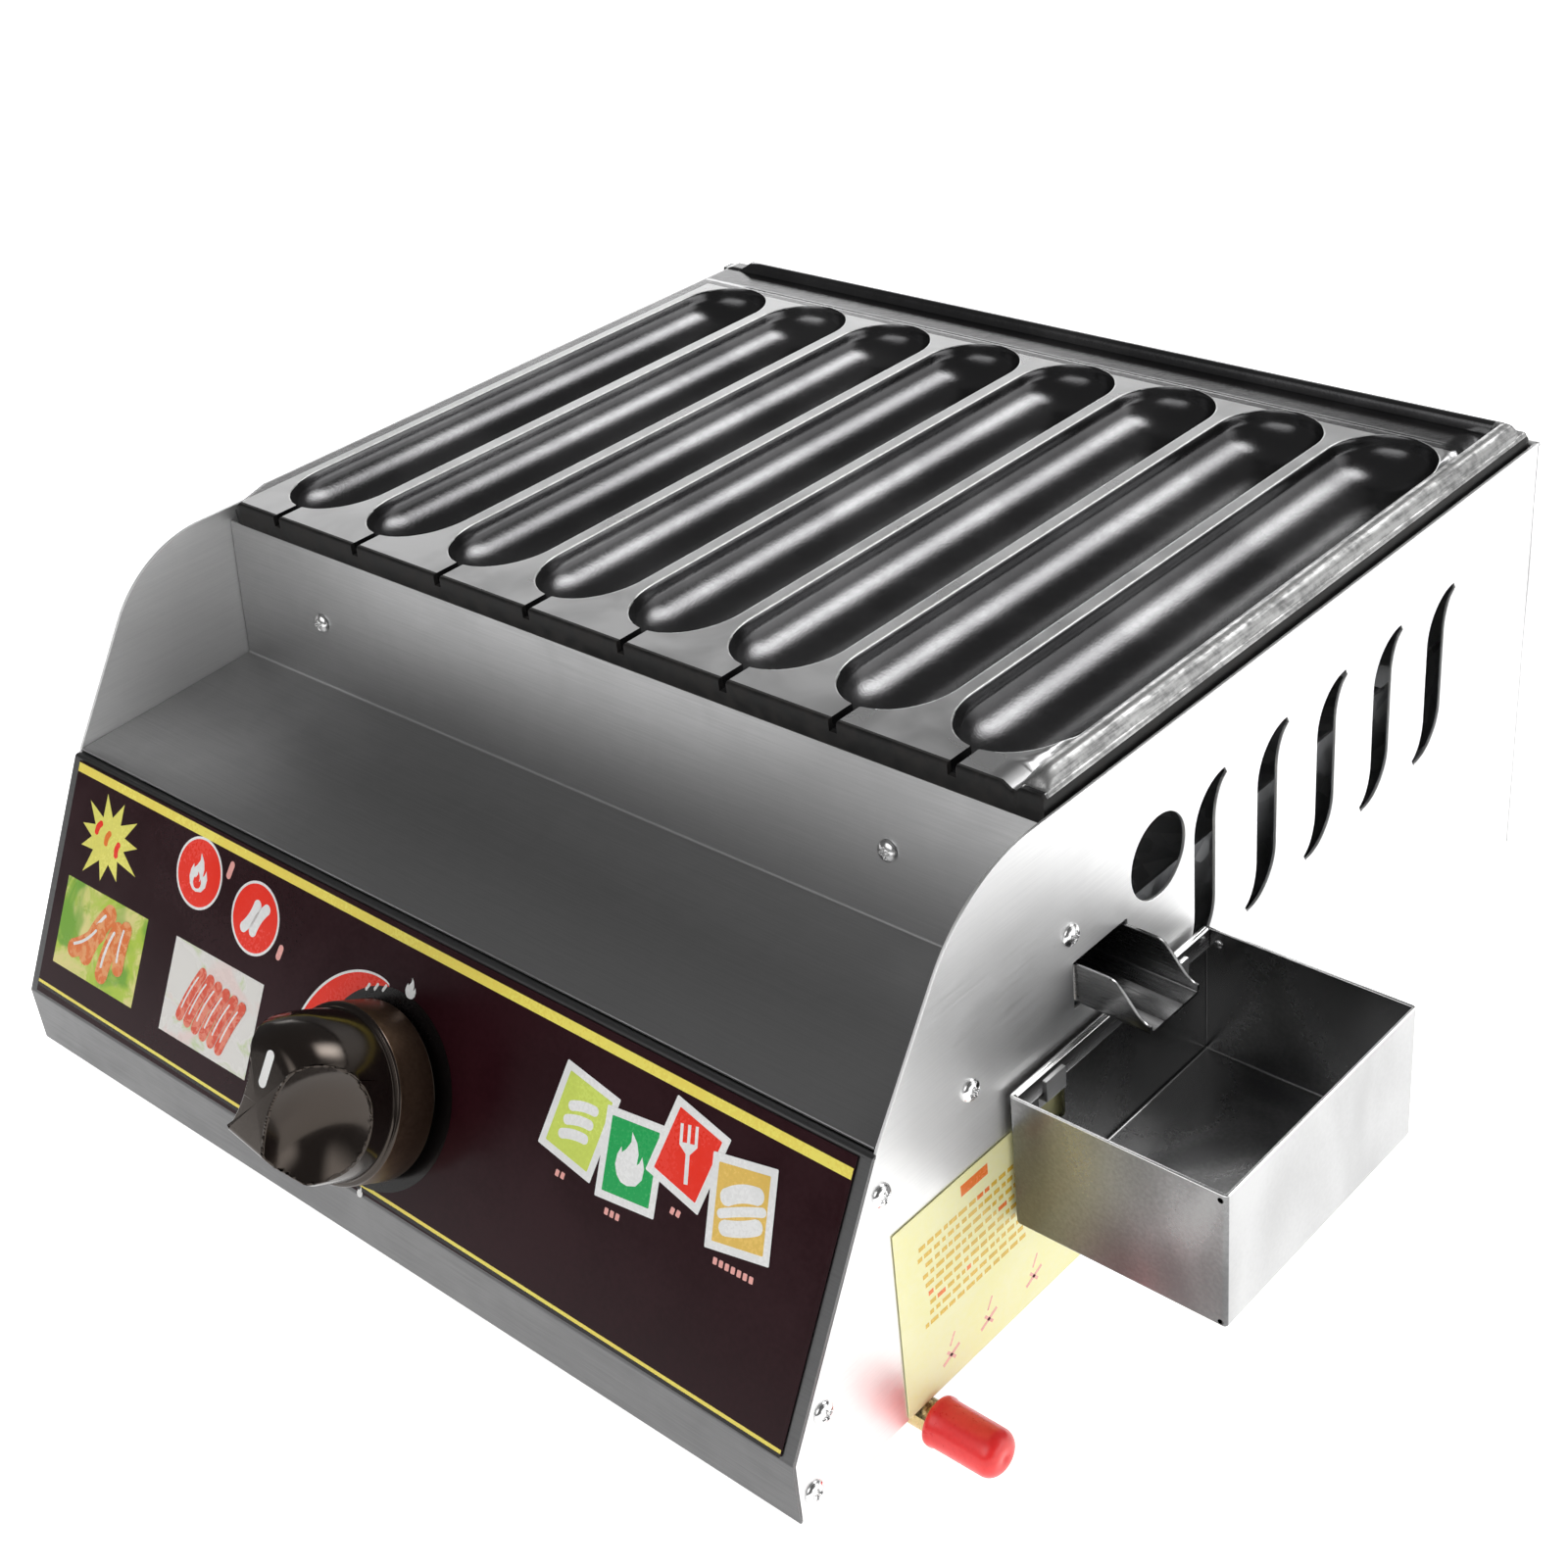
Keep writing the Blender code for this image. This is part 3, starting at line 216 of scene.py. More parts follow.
def moulded(name, dark, light, rough, grain=1800, depth=2e-5, bump=0.2, **values):
    """Plastic, rubber, paint or ink: a fine skin with soft variation in colour."""
    look = Look(name)
    look.set(**values)
    skin = look.noise(grain, 3)
    cloud = look.noise(30, 3, 0.5, 0.6)
    share = look.weighted((skin, 0.35), (cloud, 0.65))
    look.colour(share, 0.35, 0.65, dark, light)
    look.rough(share, 0.35, 0.65, *rough)
    look.bump(skin, bump, depth)
    return look.made


def mottled(name, texture, reach, dark, light, rough, bump, skin=None, **values):
    """Cast metal with one soft texture in its colour and roughness."""
    look = Look(name)
    look.set(**values)
    cloud = look.noise(*texture)
    look.colour(cloud, *reach, dark, light)
    look.rough(cloud, 0.3, 0.7, *rough)
    look.bump(look.noise(*skin) if skin else cloud, *bump)
    return look.made


def cast_coating():
    """Black non-stick coat over a casting, with a finely pebbled skin."""
    look = Look("nonstick_coat")
    look.set(Metallic=0.9)
    pebble = look.noise(1100, 3, 0.6)
    cloud = look.noise(18, 3, 0.5, 0.5)
    wear = look.noise(320, 4, 0.6, 0.3)
    look.colour(cloud, 0.4, 0.66, (0.085, 0.085, 0.087), (0.125, 0.125, 0.127))
    rough = look.maths("ADD", look.ranged(wear, 0.3, 0.7, 0.14, 0.2),
                       look.ranged(cloud, 0.35, 0.7, 0.0, 0.03))
    look.link(rough, look.shader.inputs["Roughness"])
    look.bump(look.maths("ADD", pebble, look.maths("MULTIPLY", wear, 0.6)), 0.7, 6e-5)
    return look.made


def worn_bead():
    """Bare cast edge: light worn metal with scratches, stains and pits spread at random."""
    look = Look("worn_cast_edge")
    look.set(Metallic=1.0)
    scratch = look.noise(700, 5, 0.7, 0.2, look.stretched((1, 0.06, 1)))
    stain = look.noise(85, 5, 0.65, 0.8)
    pit = look.noise(420, 4, 0.6)
    share = look.weighted((scratch, 0.45), (stain, 0.35), (pit, 0.2))
    look.colour(share, 0.38, 0.58, (0.24, 0.24, 0.24), (0.5, 0.5, 0.495))
    look.rough(share, 0.36, 0.62, 0.62, 0.34)
    look.bump(share, 0.3, 8e-5)
    return look.made


def galvanised():
    """Zinc-coated sheet with its spangle."""
    look = Look("galvanised_sheet")
    look.set(Metallic=1.0)
    cells = look.add("ShaderNodeTexVoronoi", feature="F1")
    cells.inputs["Scale"].default_value = 140
    look.link(look.place, cells.inputs["Vector"])
    spangle = look.add("ShaderNodeSeparateColor")
    look.link(cells.outputs["Color"], spangle.inputs["Color"])
    cloud = look.noise(20, 3)
    look.link(look.mixed(spangle.outputs[0], (0.46, 0.47, 0.49), (0.68, 0.69, 0.7)),
              look.shader.inputs["Base Color"])
    rough = look.maths("ADD", look.ranged(spangle.outputs[1], 0, 1, 0.3, 0.44),
                       look.ranged(cloud, 0.3, 0.7, 0.0, 0.1))
    look.link(rough, look.shader.inputs["Roughness"])
    look.bump(look.noise(700, 3), 0.15, 4e-5)
    return look.made


def burnt_iron():
    """Iron darkened by flame, with patches of rust."""
    look = Look("burnt_iron")
    look.set(Metallic=0.75)
    scale_skin = look.noise(240, 5, 0.65)
    cloud = look.noise(36, 4, 0.6, 0.4)
    rust = look.mixed(look.ranged(cloud, 0.5, 0.7), (0.06, 0.058, 0.056), (0.16, 0.085, 0.045))
    look.colour(scale_skin, 0.4, 0.65, rust, (0.2, 0.19, 0.18))
    look.rough(scale_skin, 0.3, 0.7, 0.8, 0.5)
    look.bump(scale_skin, 0.4, 2e-4)
    return look.made


def spotted_print(name, ground, spots, scale, low, high, second=None):
    """A printed ground with blurred blotches, as a printed photograph has."""
    look = Look(name)
    blotch = look.noise(scale, 4, 0.6, 0.8)
    colour = look.mixed(look.ranged(blotch, low, high), ground, spots)
    if second:
        other = look.noise(scale * 0.6, 3, 0.5, 1.4)
        colour = look.mixed(look.ranged(other, 0.52, 0.66), colour, second)
    look.link(colour, look.shader.inputs["Base Color"])
    look.rough(blotch, 0.3, 0.7, 0.22, 0.32)
    look.bump(look.noise(1500, 2), 0.1, 1e-5)
    return look.made


PANEL = brushed("bright_stainless", (0.88, 0.88, 0.88), (0.95, 0.95, 0.945), (0.4, 0.5), "Y", 0.06)
CHEEK = brushed("dull_stainless", (0.9, 0.9, 0.9), (0.97, 0.97, 0.965), (0.55, 0.64), "Y", 0.06)
# the tray's stainless is a darker copy of the panel sheet: painted shade
TRAY = brushed("tray_stainless_painted_shade", (0.42, 0.42, 0.422), (0.48, 0.48, 0.482), (0.34, 0.42), "X", 0.05)
# the fascia's stainless is a much darker copy of the panel sheet: painted shade
LIP = brushed("fascia_stainless_painted_shade", (0.15, 0.15, 0.152), (0.18, 0.18, 0.181), (0.3, 0.4), "X", 0.06)
# the drip box's stainless is a much darker copy of the panel sheet: painted shade, with its smudges
# on top
BOX = smudged("box_stainless_painted_shade", (0.14, 0.14, 0.142), (0.32, 0.32, 0.32), (0.24, 0.34))
# a paler copy of the box's stainless for its outer right face: painted light
BOX_LIT_SIDE = smudged("box_side_stainless_painted_light", (0.52, 0.52, 0.52), (0.62, 0.62, 0.62), (0.3, 0.42))
# the trough and spout's stainless is a darker copy of the panel sheet: painted shade
SPOUT = brushed("spout_stainless_painted_shade", (0.24, 0.24, 0.242), (0.36, 0.36, 0.362), (0.18, 0.3), "X")
# a pale copy of the box's stainless for its top rim and hem: painted highlight
RIM_HIGHLIGHT = brushed("box_rim_painted_highlight", (0.8, 0.8, 0.8), (0.95, 0.95, 0.95), (0.18, 0.3), "Y", 0.05)
SCREW = brushed("screw_steel", (0.7, 0.7, 0.7), (0.9, 0.9, 0.9), (0.12, 0.24), "X", 0.04)
BRASS = brushed("turned_brass", (0.6, 0.43, 0.17), (0.78, 0.6, 0.3), (0.24, 0.4), "Z", 0.08)
SPRING = brushed("spring_steel", (0.5, 0.5, 0.5), (0.7, 0.7, 0.7), (0.2, 0.34), "Z", 0.05)
ZINC = galvanised()
IRON = burnt_iron()
# the casting: its black coat, a duller, paler copy of it on the lands between the grooves (painted
# light), the blackened sides and underside, a pale band on the grooves' rims (painted highlight)
# and the bare bead
COAT = cast_coating()
LAND = mottled("land_coat_painted_light", (30, 3, 0.55, 0.4), (0.38, 0.64), (0.42, 0.42, 0.422),
               (0.52, 0.52, 0.522), (0.27, 0.34), (0.3, 4e-5), (900, 3, 0.6), Metallic=0.9)
RAW = mottled("blackened_iron", (160, 4, 0.6, 0.4), (0.35, 0.68), (0.006, 0.006, 0.006),
              (0.02, 0.018, 0.017), (0.45, 0.62), (0.4, 1e-4), Metallic=0.0,
              Specular_IOR_Level=0.25)
# a pale band of coat on the grooves' rims stands for their edge highlights: painted highlight
GROOVE_RIM_HIGHLIGHT = mottled("groove_rim_painted_highlight", (260, 4, 0.6, 0.3), (0.35, 0.65), (0.5, 0.5, 0.5),
                 (0.68, 0.68, 0.68), (0.3, 0.42), (0.2, 4e-5), Metallic=0.9)
BEAD = worn_bead()
FILM = moulded("maroon_film", (0.02, 0.0036, 0.0058), (0.026, 0.005, 0.008), (0.2, 0.26),
               600, 4e-6, 0.05, Specular_IOR_Level=0.2)
GLOSS = moulded("gloss_black", (0.0075, 0.0055, 0.005), (0.012, 0.009, 0.008), (0.1, 0.16),
                900, 8e-6, 0.08, IOR=1.6, Specular_Tint=(1.0, 0.84, 0.72, 1))
SKIRT = moulded("satin_bronze_black", (0.1, 0.062, 0.042), (0.15, 0.096, 0.066), (0.3, 0.38),
                700, 1e-5, 0.1, Metallic=0.85)
DIAL = moulded("dial_black", (0.004, 0.003, 0.003), (0.008, 0.006, 0.006), (0.22, 0.3),
               900, 8e-6, 0.08)
POINTER = moulded("pointer_white", (0.8, 0.8, 0.79), (0.92, 0.92, 0.9), (0.3, 0.42))
VINYL = moulded("red_vinyl", (0.9, 0.012, 0.014), (1.0, 0.03, 0.03), (0.24, 0.36),
                700, 3e-5, 0.15, Coat_Weight=0.35, Coat_Roughness=0.15,
                Subsurface_Weight=0.08, Subsurface_Scale=0.002)
RUBBER = moulded("foot_rubber", (0.014, 0.014, 0.014), (0.03, 0.03, 0.029), (0.6, 0.8),
                 1200, 8e-5, 0.3)
CERAMIC = moulded("glazed_ceramic", (0.74, 0.72, 0.67), (0.86, 0.84, 0.8), (0.15, 0.3))
LEAD = moulded("lead_insulation", (0.012, 0.012, 0.012), (0.024, 0.024, 0.024), (0.4, 0.55))
LABEL = moulded("label_film", (0.97, 0.93, 0.45), (0.99, 0.96, 0.58), (0.32, 0.42),
                500, 1e-5, 0.1)


def ink(name, colour):
    paler = tuple(min(part * 1.12 + 0.01, 1) for part in colour)
    return moulded(name, colour, paler, (0.2, 0.3), 900, 6e-6, 0.1)


INK_YELLOW = ink("ink_yellow", (0.98, 0.78, 0.13))
INK_LEMON = ink("ink_lemon", (0.85, 0.8, 0.16))
INK_RED = ink("ink_red", (0.98, 0.028, 0.008))
INK_WHITE = ink("ink_white", (0.88, 0.88, 0.87))
INK_BLACK = ink("ink_black", (0.006, 0.004, 0.004))
INK_GREEN = ink("ink_green", (0.004, 0.4, 0.09))
INK_LIME = ink("ink_lime", (0.66, 0.78, 0.13))
INK_GOLD = ink("ink_gold", (0.85, 0.56, 0.12))
INK_OCHRE = ink("ink_ochre", (0.78, 0.5, 0.05))
INK_ORANGE = ink("ink_orange", (0.9, 0.2, 0.02))
INK_PINK = ink("ink_pink", (0.9, 0.42, 0.38))
FIELD = spotted_print("print_field", (0.5, 0.68, 0.06), (0.86, 0.78, 0.3), 55, 0.42, 0.6,
                      (0.2, 0.45, 0.03))
TABLE = spotted_print("print_table", (0.86, 0.84, 0.8), (0.62, 0.72, 0.42), 60, 0.54, 0.66,
                      (0.9, 0.74, 0.7))
SAUSAGE = spotted_print("print_sausage", (0.86, 0.2, 0.035), (0.95, 0.42, 0.16), 230, 0.42, 0.62)
SAUSAGE_RED = spotted_print("print_sausage_red", (0.82, 0.1, 0.05), (0.92, 0.3, 0.2), 260,
                            0.42, 0.62)


# ------------------------------------------------------------------ mesh helpers
def to_mesh(bm, name):
    mesh = bpy.data.meshes.new(name)
    bm.to_mesh(mesh)
    bm.free()
    return mesh


def solid_mesh(bm, name):
    bmesh.ops.recalc_face_normals(bm, faces=bm.faces)
    return to_mesh(bm, name)


def placed(name, mesh):
    """A new object in the scene."""
    made = bpy.data.objects.new(name, mesh)
    bpy.context.scene.collection.objects.link(made)
    return made


def piece(name, bm, looks, body="casing", hides=(), angle=35.0, place=None):
    """Turn a bmesh in the row frame into a piece that rides on a body."""
    mesh = solid_mesh(bm, name)
    if place is not None:
        mesh.transform(place)
    return dress(name, mesh, looks, body, hides, angle)


def dress(name, mesh, looks, body, hides, angle):
    made = placed(name, mesh)
    for look in looks if isinstance(looks, (list, tuple)) else [looks]:
        mesh.materials.append(look)
    mesh.shade_smooth()
    mesh.set_sharp_from_angle(angle=math.radians(angle))
    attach(made, body)
    if hides:
        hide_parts(*hides)
    return made


def flat_shading(made, keep_sharp=False):
    """Let the wide faces set the normals."""
    step = made.modifiers.new("flat", "WEIGHTED_NORMAL")
    step.keep_sharp = keep_sharp


def soften(made, width, segments=2, angle=40.0, clamp=True):
    """Round the sharp edges and keep the wide faces flat."""
    step = made.modifiers.new("edge", "BEVEL")
    step.width = width * MM
    step.segments = segments
    step.limit_method = "ANGLE"
    step.angle_limit = math.radians(angle)
    step.use_clamp_overlap = clamp
    step.harden_normals = False
    flat_shading(made)


def rounded(path, radius, steps=6):
    """The path with its inner corners turned into arcs."""
    points = [Vector(point) for point in path]
    route = [points[0]]
    for before, corner, after in zip(points, points[1:], points[2:]):
        one, two = (before - corner).normalized(), (after - corner).normalized()
        half = one.angle(two) / 2
        reach = radius / math.tan(half)
        centre = corner + (one + two).normalized() * (radius / math.sin(half))
        start, end = corner + one * reach, corner + two * reach
        first, last = start - centre, end - centre
        swing = first.angle_signed(last)
        for step in range(steps + 1):
            turn = -swing * step / steps
            route.append(centre + Vector((first.x * math.cos(turn) - first.y * math.sin(turn),
                                          first.x * math.sin(turn) + first.y * math.cos(turn))))
    route.append(points[-1])
    return route


def bent_sheet(bm, path, thickness, reach, to_space=None, steps=1):
    """Sheet that follows a (y, z) path, its thickness to the left, between x = -reach and reach;
    reach is one number, a (low, high) pair, or a list of either for each point."""
    to_space = to_space or at
    points = [Vector(point) for point in path]
    offset = []
    for index, point in enumerate(points):
        before = point - points[index - 1] if index else points[1] - point
        after = points[index + 1] - point if index < len(points) - 1 else before
        one = Vector((-before.y, before.x)).normalized()
        two = Vector((-after.y, after.x)).normalized()
        mitre = (one + two).normalized()
        offset.append(point + mitre * (thickness / mitre.dot(two)))
    reaches = reach if isinstance(reach, list) else [reach] * len(points)
    spans = [span if isinstance(span, tuple) else (-span, span) for span in reaches]
    rows = []
    for side in (points, offset):
        made = []
        for (a, b), (low, high) in zip(side, spans):
            made.append([bm.verts.new(to_space(low + (high - low) * k / steps, a, b))
                         for k in range(steps + 1)])
        rows.append(made)
    outer, inner = rows
    for first, second in zip(range(len(points) - 1), range(1, len(points))):
        for k in range(steps):
            bm.faces.new((outer[first][k], outer[second][k],
                          outer[second][k + 1], outer[first][k + 1]))
            bm.faces.new((inner[first][k], inner[first][k + 1],
                          inner[second][k + 1], inner[second][k]))
        for end in (0, -1):
            bm.faces.new((outer[first][end], inner[first][end],
                          inner[second][end], outer[second][end]))
    for end in (0, -1):
        for k in range(steps):
            bm.faces.new((outer[end][k], outer[end][k + 1], inner[end][k + 1], inner[end][k]))


def area(loop):
    return sum(a[0] * b[1] - b[0] * a[1] for a, b in zip(loop, loop[1:] + loop[:1])) / 2


def inset(loop, distance):
    """The loop moved to its left by a distance."""
    moved = []
    count = len(loop)
    for index in range(count):
        before = Vector(loop[index]) - Vector(loop[index - 1])
        after = Vector(loop[(index + 1) % count]) - Vector(loop[index])
        one = Vector((-before.y, before.x)).normalized()
        two = Vector((-after.y, after.x)).normalized()
        mitre = (one + two).normalized()
        moved.append(tuple(Vector(loop[index]) + mitre * (distance / max(mitre.dot(two), 0.35))))
    return moved


def bridge(bm, one, two):
    """Faces between two closed rings of the same length, in order."""
    count = len(one)
    return [bm.faces.new((one[k], one[(k + 1) % count], two[(k + 1) % count], two[k]))
            for k in range(count)]


def slab(bm, loops, to_space, low, high, edge):
    """Flat sheet with holes and softened edges; the first loop is the outline."""
    rings = []
    for index, loop in enumerate(loops):
        loop = list(loop)
        if (area(loop) > 0) == (index > 0):
            loop.reverse()
        levels = [(inset(loop, edge), low), (inset(loop, edge * 0.3), low + edge * 0.3),
                  (loop, low + edge), (loop, high - edge),
                  (inset(loop, edge * 0.3), high - edge * 0.3), (inset(loop, edge), high)]
        rings.append([[bm.verts.new(to_space(a, b, depth)) for a, b in outline]
                      for outline, depth in levels])
    for levels in rings:
        for one, two in zip(levels, levels[1:]):
            bridge(bm, one, two)
    for end in (0, -1):
        edges = []
        for levels in rings:
            ring = levels[end]
            for k in range(len(ring)):
                edges.append(bm.edges.get((ring[k], ring[(k + 1) % len(ring)])))
        bmesh.ops.triangle_fill(bm, use_beauty=True, use_dissolve=False, edges=edges)


def arc(a, b, radius, start, sweep, steps):
    """Points on an arc round (a, b), both ends included."""
    return [(a + radius * math.cos(start + sweep * k / steps),
             b + radius * math.sin(start + sweep * k / steps)) for k in range(steps + 1)]


def circle(centre, radius, sides=48):
    return arc(*centre, radius, 0, 2 * math.pi, sides)[:-1]


def round_box(low_a, high_a, low_b, high_b, radius, steps=5):
    """A rectangle with round corners."""
    loop = []
    left, right, low, high = low_a + radius, high_a - radius, low_b + radius, high_b - radius
    for ca, cb, start in ((right, low, -90), (right, high, 0), (left, high, 90), (left, low, 180)):
        for k in range(steps + 1):
            turn = math.radians(start + 90 * k / steps)
            loop.append((ca + radius * math.cos(turn), cb + radius * math.sin(turn)))
    return loop


def turned_faces(bm, rings, sides):
    """Faces between the rings of a turned shape; a ring of one point closes it."""
    for one, two in zip(rings, rings[1:]):
        for k in range(sides):
            corners = []
            for ring, step in ((one, k), (one, k + 1), (two, k + 1), (two, k)):
                vert = ring[step % len(ring)]
                if vert not in corners:
                    corners.append(vert)
            if len(corners) > 2:
                bm.faces.new(corners)


def lathe(bm, profile, sides):
    """Turn a (radius, height) profile round local Z; a zero radius closes it."""
    rings = []
    for radius, height in profile:
        if radius == 0:
            rings.append([bm.verts.new((0, 0, height))])
        else:
            rings.append([bm.verts.new((x, y, height)) for x, y in circle((0, 0), radius, sides)])
    turned_faces(bm, rings, sides)


def loft(bm, rings):
    """A closed solid through the rings."""
    made = [[bm.verts.new(point) for point in ring] for ring in rings]
    for one, two in zip(made, made[1:]):
        bridge(bm, one, two)
    bm.faces.new(list(reversed(made[0])))
    bm.faces.new(made[-1])


def prism(bm, outline, low, high, look=0):
    """Flat print or plate in the local XY plane."""
    before = set(bm.faces)
    loft(bm, [[Vector((a, b, level)) for a, b in outline] for level in (low, high)])
    for face in set(bm.faces) - before:
        face.material_index = look


def turned_to(heading):
    return Vector((0, 0, 1)).rotation_difference(heading).to_matrix().to_4x4()


def spot(bm, place, heading, radius, height):
    """A thin disc on a surface."""
    part = bmesh.new()
    prism(part, circle((0, 0), radius * MM, 24), -height * MM, height * MM)
    part.transform(Matrix.Translation(place) @ turned_to(heading))
    join(bm, part)


def dome(bm, place, heading, radius, height):
    part = bmesh.new()
    profile = [(0, height * MM)]
    for k in range(1, 8):
        turn = math.pi / 2 * k / 7
        profile.append((radius * MM * math.sin(turn), height * MM * math.cos(turn)))
    profile += [(radius * MM, -0.1 * MM), (0, -0.1 * MM)]
    lathe(part, profile, 32)
    part.transform(Matrix.Translation(place) @ turned_to(heading))
    join(bm, part)


def join(bm, part):
    """Add one bmesh to another."""
    mesh = to_mesh(part, "part")
    bm.from_mesh(mesh)
    bpy.data.meshes.remove(mesh)


def cut(made, build):
    """Take a cutter's shape out of a piece and keep the result as its mesh."""
    bm = bmesh.new()
    build(bm)
    tool = placed("cutter", solid_mesh(bm, "cutter"))
    step = made.modifiers.new("cut", "BOOLEAN")
    step.object = tool
    step.operation = "DIFFERENCE"
    step.solver = "EXACT"
    bpy.context.view_layer.update()
    shapes = bpy.context.evaluated_depsgraph_get()
    result = bpy.data.meshes.new_from_object(made.evaluated_get(shapes))
    made.modifiers.remove(step)
    spent = [made.data, tool.data]
    made.data = result
    bpy.data.objects.remove(tool, do_unlink=True)
    for mesh in spent:
        bpy.data.meshes.remove(mesh)


def paint(node, look):
    """Give a CAD node that stays its finish."""
    for slot in NODES[node].material_slots:
        slot.material = look


# ------------------------------------------------------------------ casing sheets
SPOUT_Y = (7.5, 34.0)
SPOUT_Z = (103.0, 117.0)
VENT_Y, VENT_PITCH, VENT_Z = 78.5, 37.1, 112.2
SIGHT_HOLE, SIGHT_R = (52.5, 131.4), 14.8
PANEL_SCREWS = ((5.6, 129.2), (-45.3, 103.8), (-87.5, 93.7), (-120.5, 34.6), (-128.0, 8.2))


def side_outline():
    back = SHEET + GAP
    points = [(REAR_Y - back, 0.0), (REAR_Y - back, CASE_H)]
    bend = 56
    for step in range(33):
        turn = math.radians(54) * step / 32
        points.append((-12 - bend * math.sin(turn), CASE_H - bend + bend * math.cos(turn)))
    points += [(fascia_y(SHELF_FRONT[1], back), SHELF_FRONT[1]),
               (LIP_TOP[0] + back, LIP_TOP[1] - back / 2), (LIP_TOP[0] + back, 0.0)]
    return points


def vent(centre):
    """An S-shaped slot: straight in the middle, its pointed ends swept opposite ways."""
    half = []
    for step in range(15):
        turn = math.pi / 2 * step / 14
        half.append((-6 + 17.5 * (1 - math.cos(turn)), 14 + 18.4 * math.sin(turn)))
    for step in range(14, -1, -1):
        turn = math.radians(76) * step / 14
        half.append((6 + 9 * (1 - math.cos(turn)), 15 + 15.4 * math.sin(turn)))
    loop = half + [(-across, -up) for across, up in half]
    return [(centre + across, VENT_Z + up) for across, up in reversed(loop)]


def side_panel(name, side):
    holes = [vent(VENT_Y + VENT_PITCH * index) for index in range(5)]
    holes.append(circle(SIGHT_HOLE, SIGHT_R, 64))
    if side > 0:
        holes.append(round_box(SPOUT_Y[0] - 1, SPOUT_Y[1] + 1,
                               SPOUT_Z[0] - 2.4, SPOUT_Z[1] + 1, 0.6))
    low, high = sorted((side * (HALF_W - SHEET), side * HALF_W))
    bm = bmesh.new()
    slab(bm, [side_outline(), *holes], lambda a, b, depth: at(depth, a, b), low, high, 0.22)
    look = PANEL if side > 0 else CHEEK
    made = piece(name + "_sheet", bm, look, hides=[name], angle=60)
    flat_shading(made)


side_panel("side_panel_right", 1)
side_panel("side_panel_left", -1)


def tray():
    path = rounded([RISER_TOP, RISER_FOOT, (SHELF_FRONT[0] + 1.5, SHELF_FRONT[1])], 1.1)
    bm = bmesh.new()
    bent_sheet(bm, path, SHEET, INNER)
    soften(piece("front_tray_sheet", bm, TRAY, hides=["front_tray"]), 0.25)


tray()


def fascia():
    flange = SHELF_FRONT[1] - SHEET - 1.5 * GAP
    corners = [(SHELF_FRONT[0] + 14, flange), (fascia_y(flange, 0), flange), LIP_TOP,
               (LIP_TOP[0], 0.0), (LIP_TOP[0] + 12, 0.0)]
    path = rounded(corners, 1.5)
    reach = []
    for point in path:
        behind = point.y > flange - 0.1 and point.x > fascia_y(flange, 0) + 1.3
        under = point.y < 0.1 and point.x > LIP_TOP[0] + 1.3
        reach.append(INNER if behind or under else HALF_W)
    bm = bmesh.new()
    bent_sheet(bm, path, SHEET, reach)
    soften(piece("front_fascia_sheet", bm, LIP, hides=["front_fascia"]), 0.25)


fascia()


def back():
    loops = [[(-HALF_W, 1.2), (HALF_W, 1.2), (HALF_W, CASE_H - 1.2), (-HALF_W, CASE_H - 1.2)]]
    for index in range(5):
        x = (index - 2) * 56
        loops.append(round_box(x - 21, x + 21, 116, 124, 3.9, 8))
    bm = bmesh.new()
    slab(bm, loops, lambda a, b, depth: at(a, depth, b), REAR_Y - SHEET, REAR_Y, 0.15)
    low = rounded([(REAR_Y - 12, 0.0), (REAR_Y, 0.0), (REAR_Y, 1.4)], 1.1)
    bent_sheet(bm, low, SHEET, [INNER if point.x < REAR_Y - 1.2 else HALF_W for point in low])
    top = rounded([(REAR_Y, CASE_H - 1.4), (REAR_Y, CASE_H), (REAR_Y - 3.5, CASE_H)], 1.1)
    bent_sheet(bm, top, SHEET, [INNER if point.x < REAR_Y - 1.2 else HALF_W for point in top])
    made = piece("back_panel_sheet", bm, PANEL, hides=["back_panel"], angle=50)
    flat_shading(made)


back()


# ------------------------------------------------------------------ grill plate
PITCH = 46.8
GROOVE_R = 21.0
GROOVE_DEPTH = 13
SLIT_HALF = 1.7
TOP = 181.0
PLATE_HALF = 197.6
FRONT_Y, TIP_Y, END_Y, BACK_Y = -1.5, 10.0, 268.0, 294.0
BEAD_HALF = 4.75
BEAD_X = PLATE_HALF - 1 - BEAD_HALF
CUT_DEPTH, CUT_SLOPE = 18, 7
BACK_BEAD_Y, BACK_BEAD_HALF = 288.6, 2.9
FIELD_SINK, GUTTER_SINK, BEAD_RISE, BACK_BEAD_RISE = 0.5, 2.2, 5.4, 4
CENTRES = [-PITCH * 3.5 + PITCH * index for index in range(8)]
BEAD_SLOT, GROOVE_RIM_HIGHLIGHT_SLOT, LAND_SLOT, RAW_SLOT = range(1, 5)
UNDERSIDE = ((172.0, 1, 1), (171.0, 0.996, 0.995), (171.0, 0.926, 0.9), (164.3, 0.926, 0.9),
             (163.5, 0.922, 0.895))


def smooth(value, low, high):
    t = np.clip((value - low) / (high - low), 0, 1)
    return t * t * (3 - 2 * t)


def groove_width(y):
    """Half width of the groove at each y."""
    turn = np.linspace(0, math.pi / 2, 400)
    front_y = TIP_Y + 24 * (1 - np.cos(turn)) + 2 * turn / (math.pi / 2)
    front_w = SLIT_HALF + (GROOVE_R - SLIT_HALF) * np.sin(turn)
    width = np.interp(y, front_y, front_w)
    rear = y > END_Y - GROOVE_R
    round_end = np.sqrt(np.maximum(GROOVE_R ** 2 - (y - END_Y + GROOVE_R) ** 2, 0))
    width = np.where(rear, round_end, width)
    width = np.where(y > END_Y, 0.0, width)
    return np.maximum(width, SLIT_HALF)


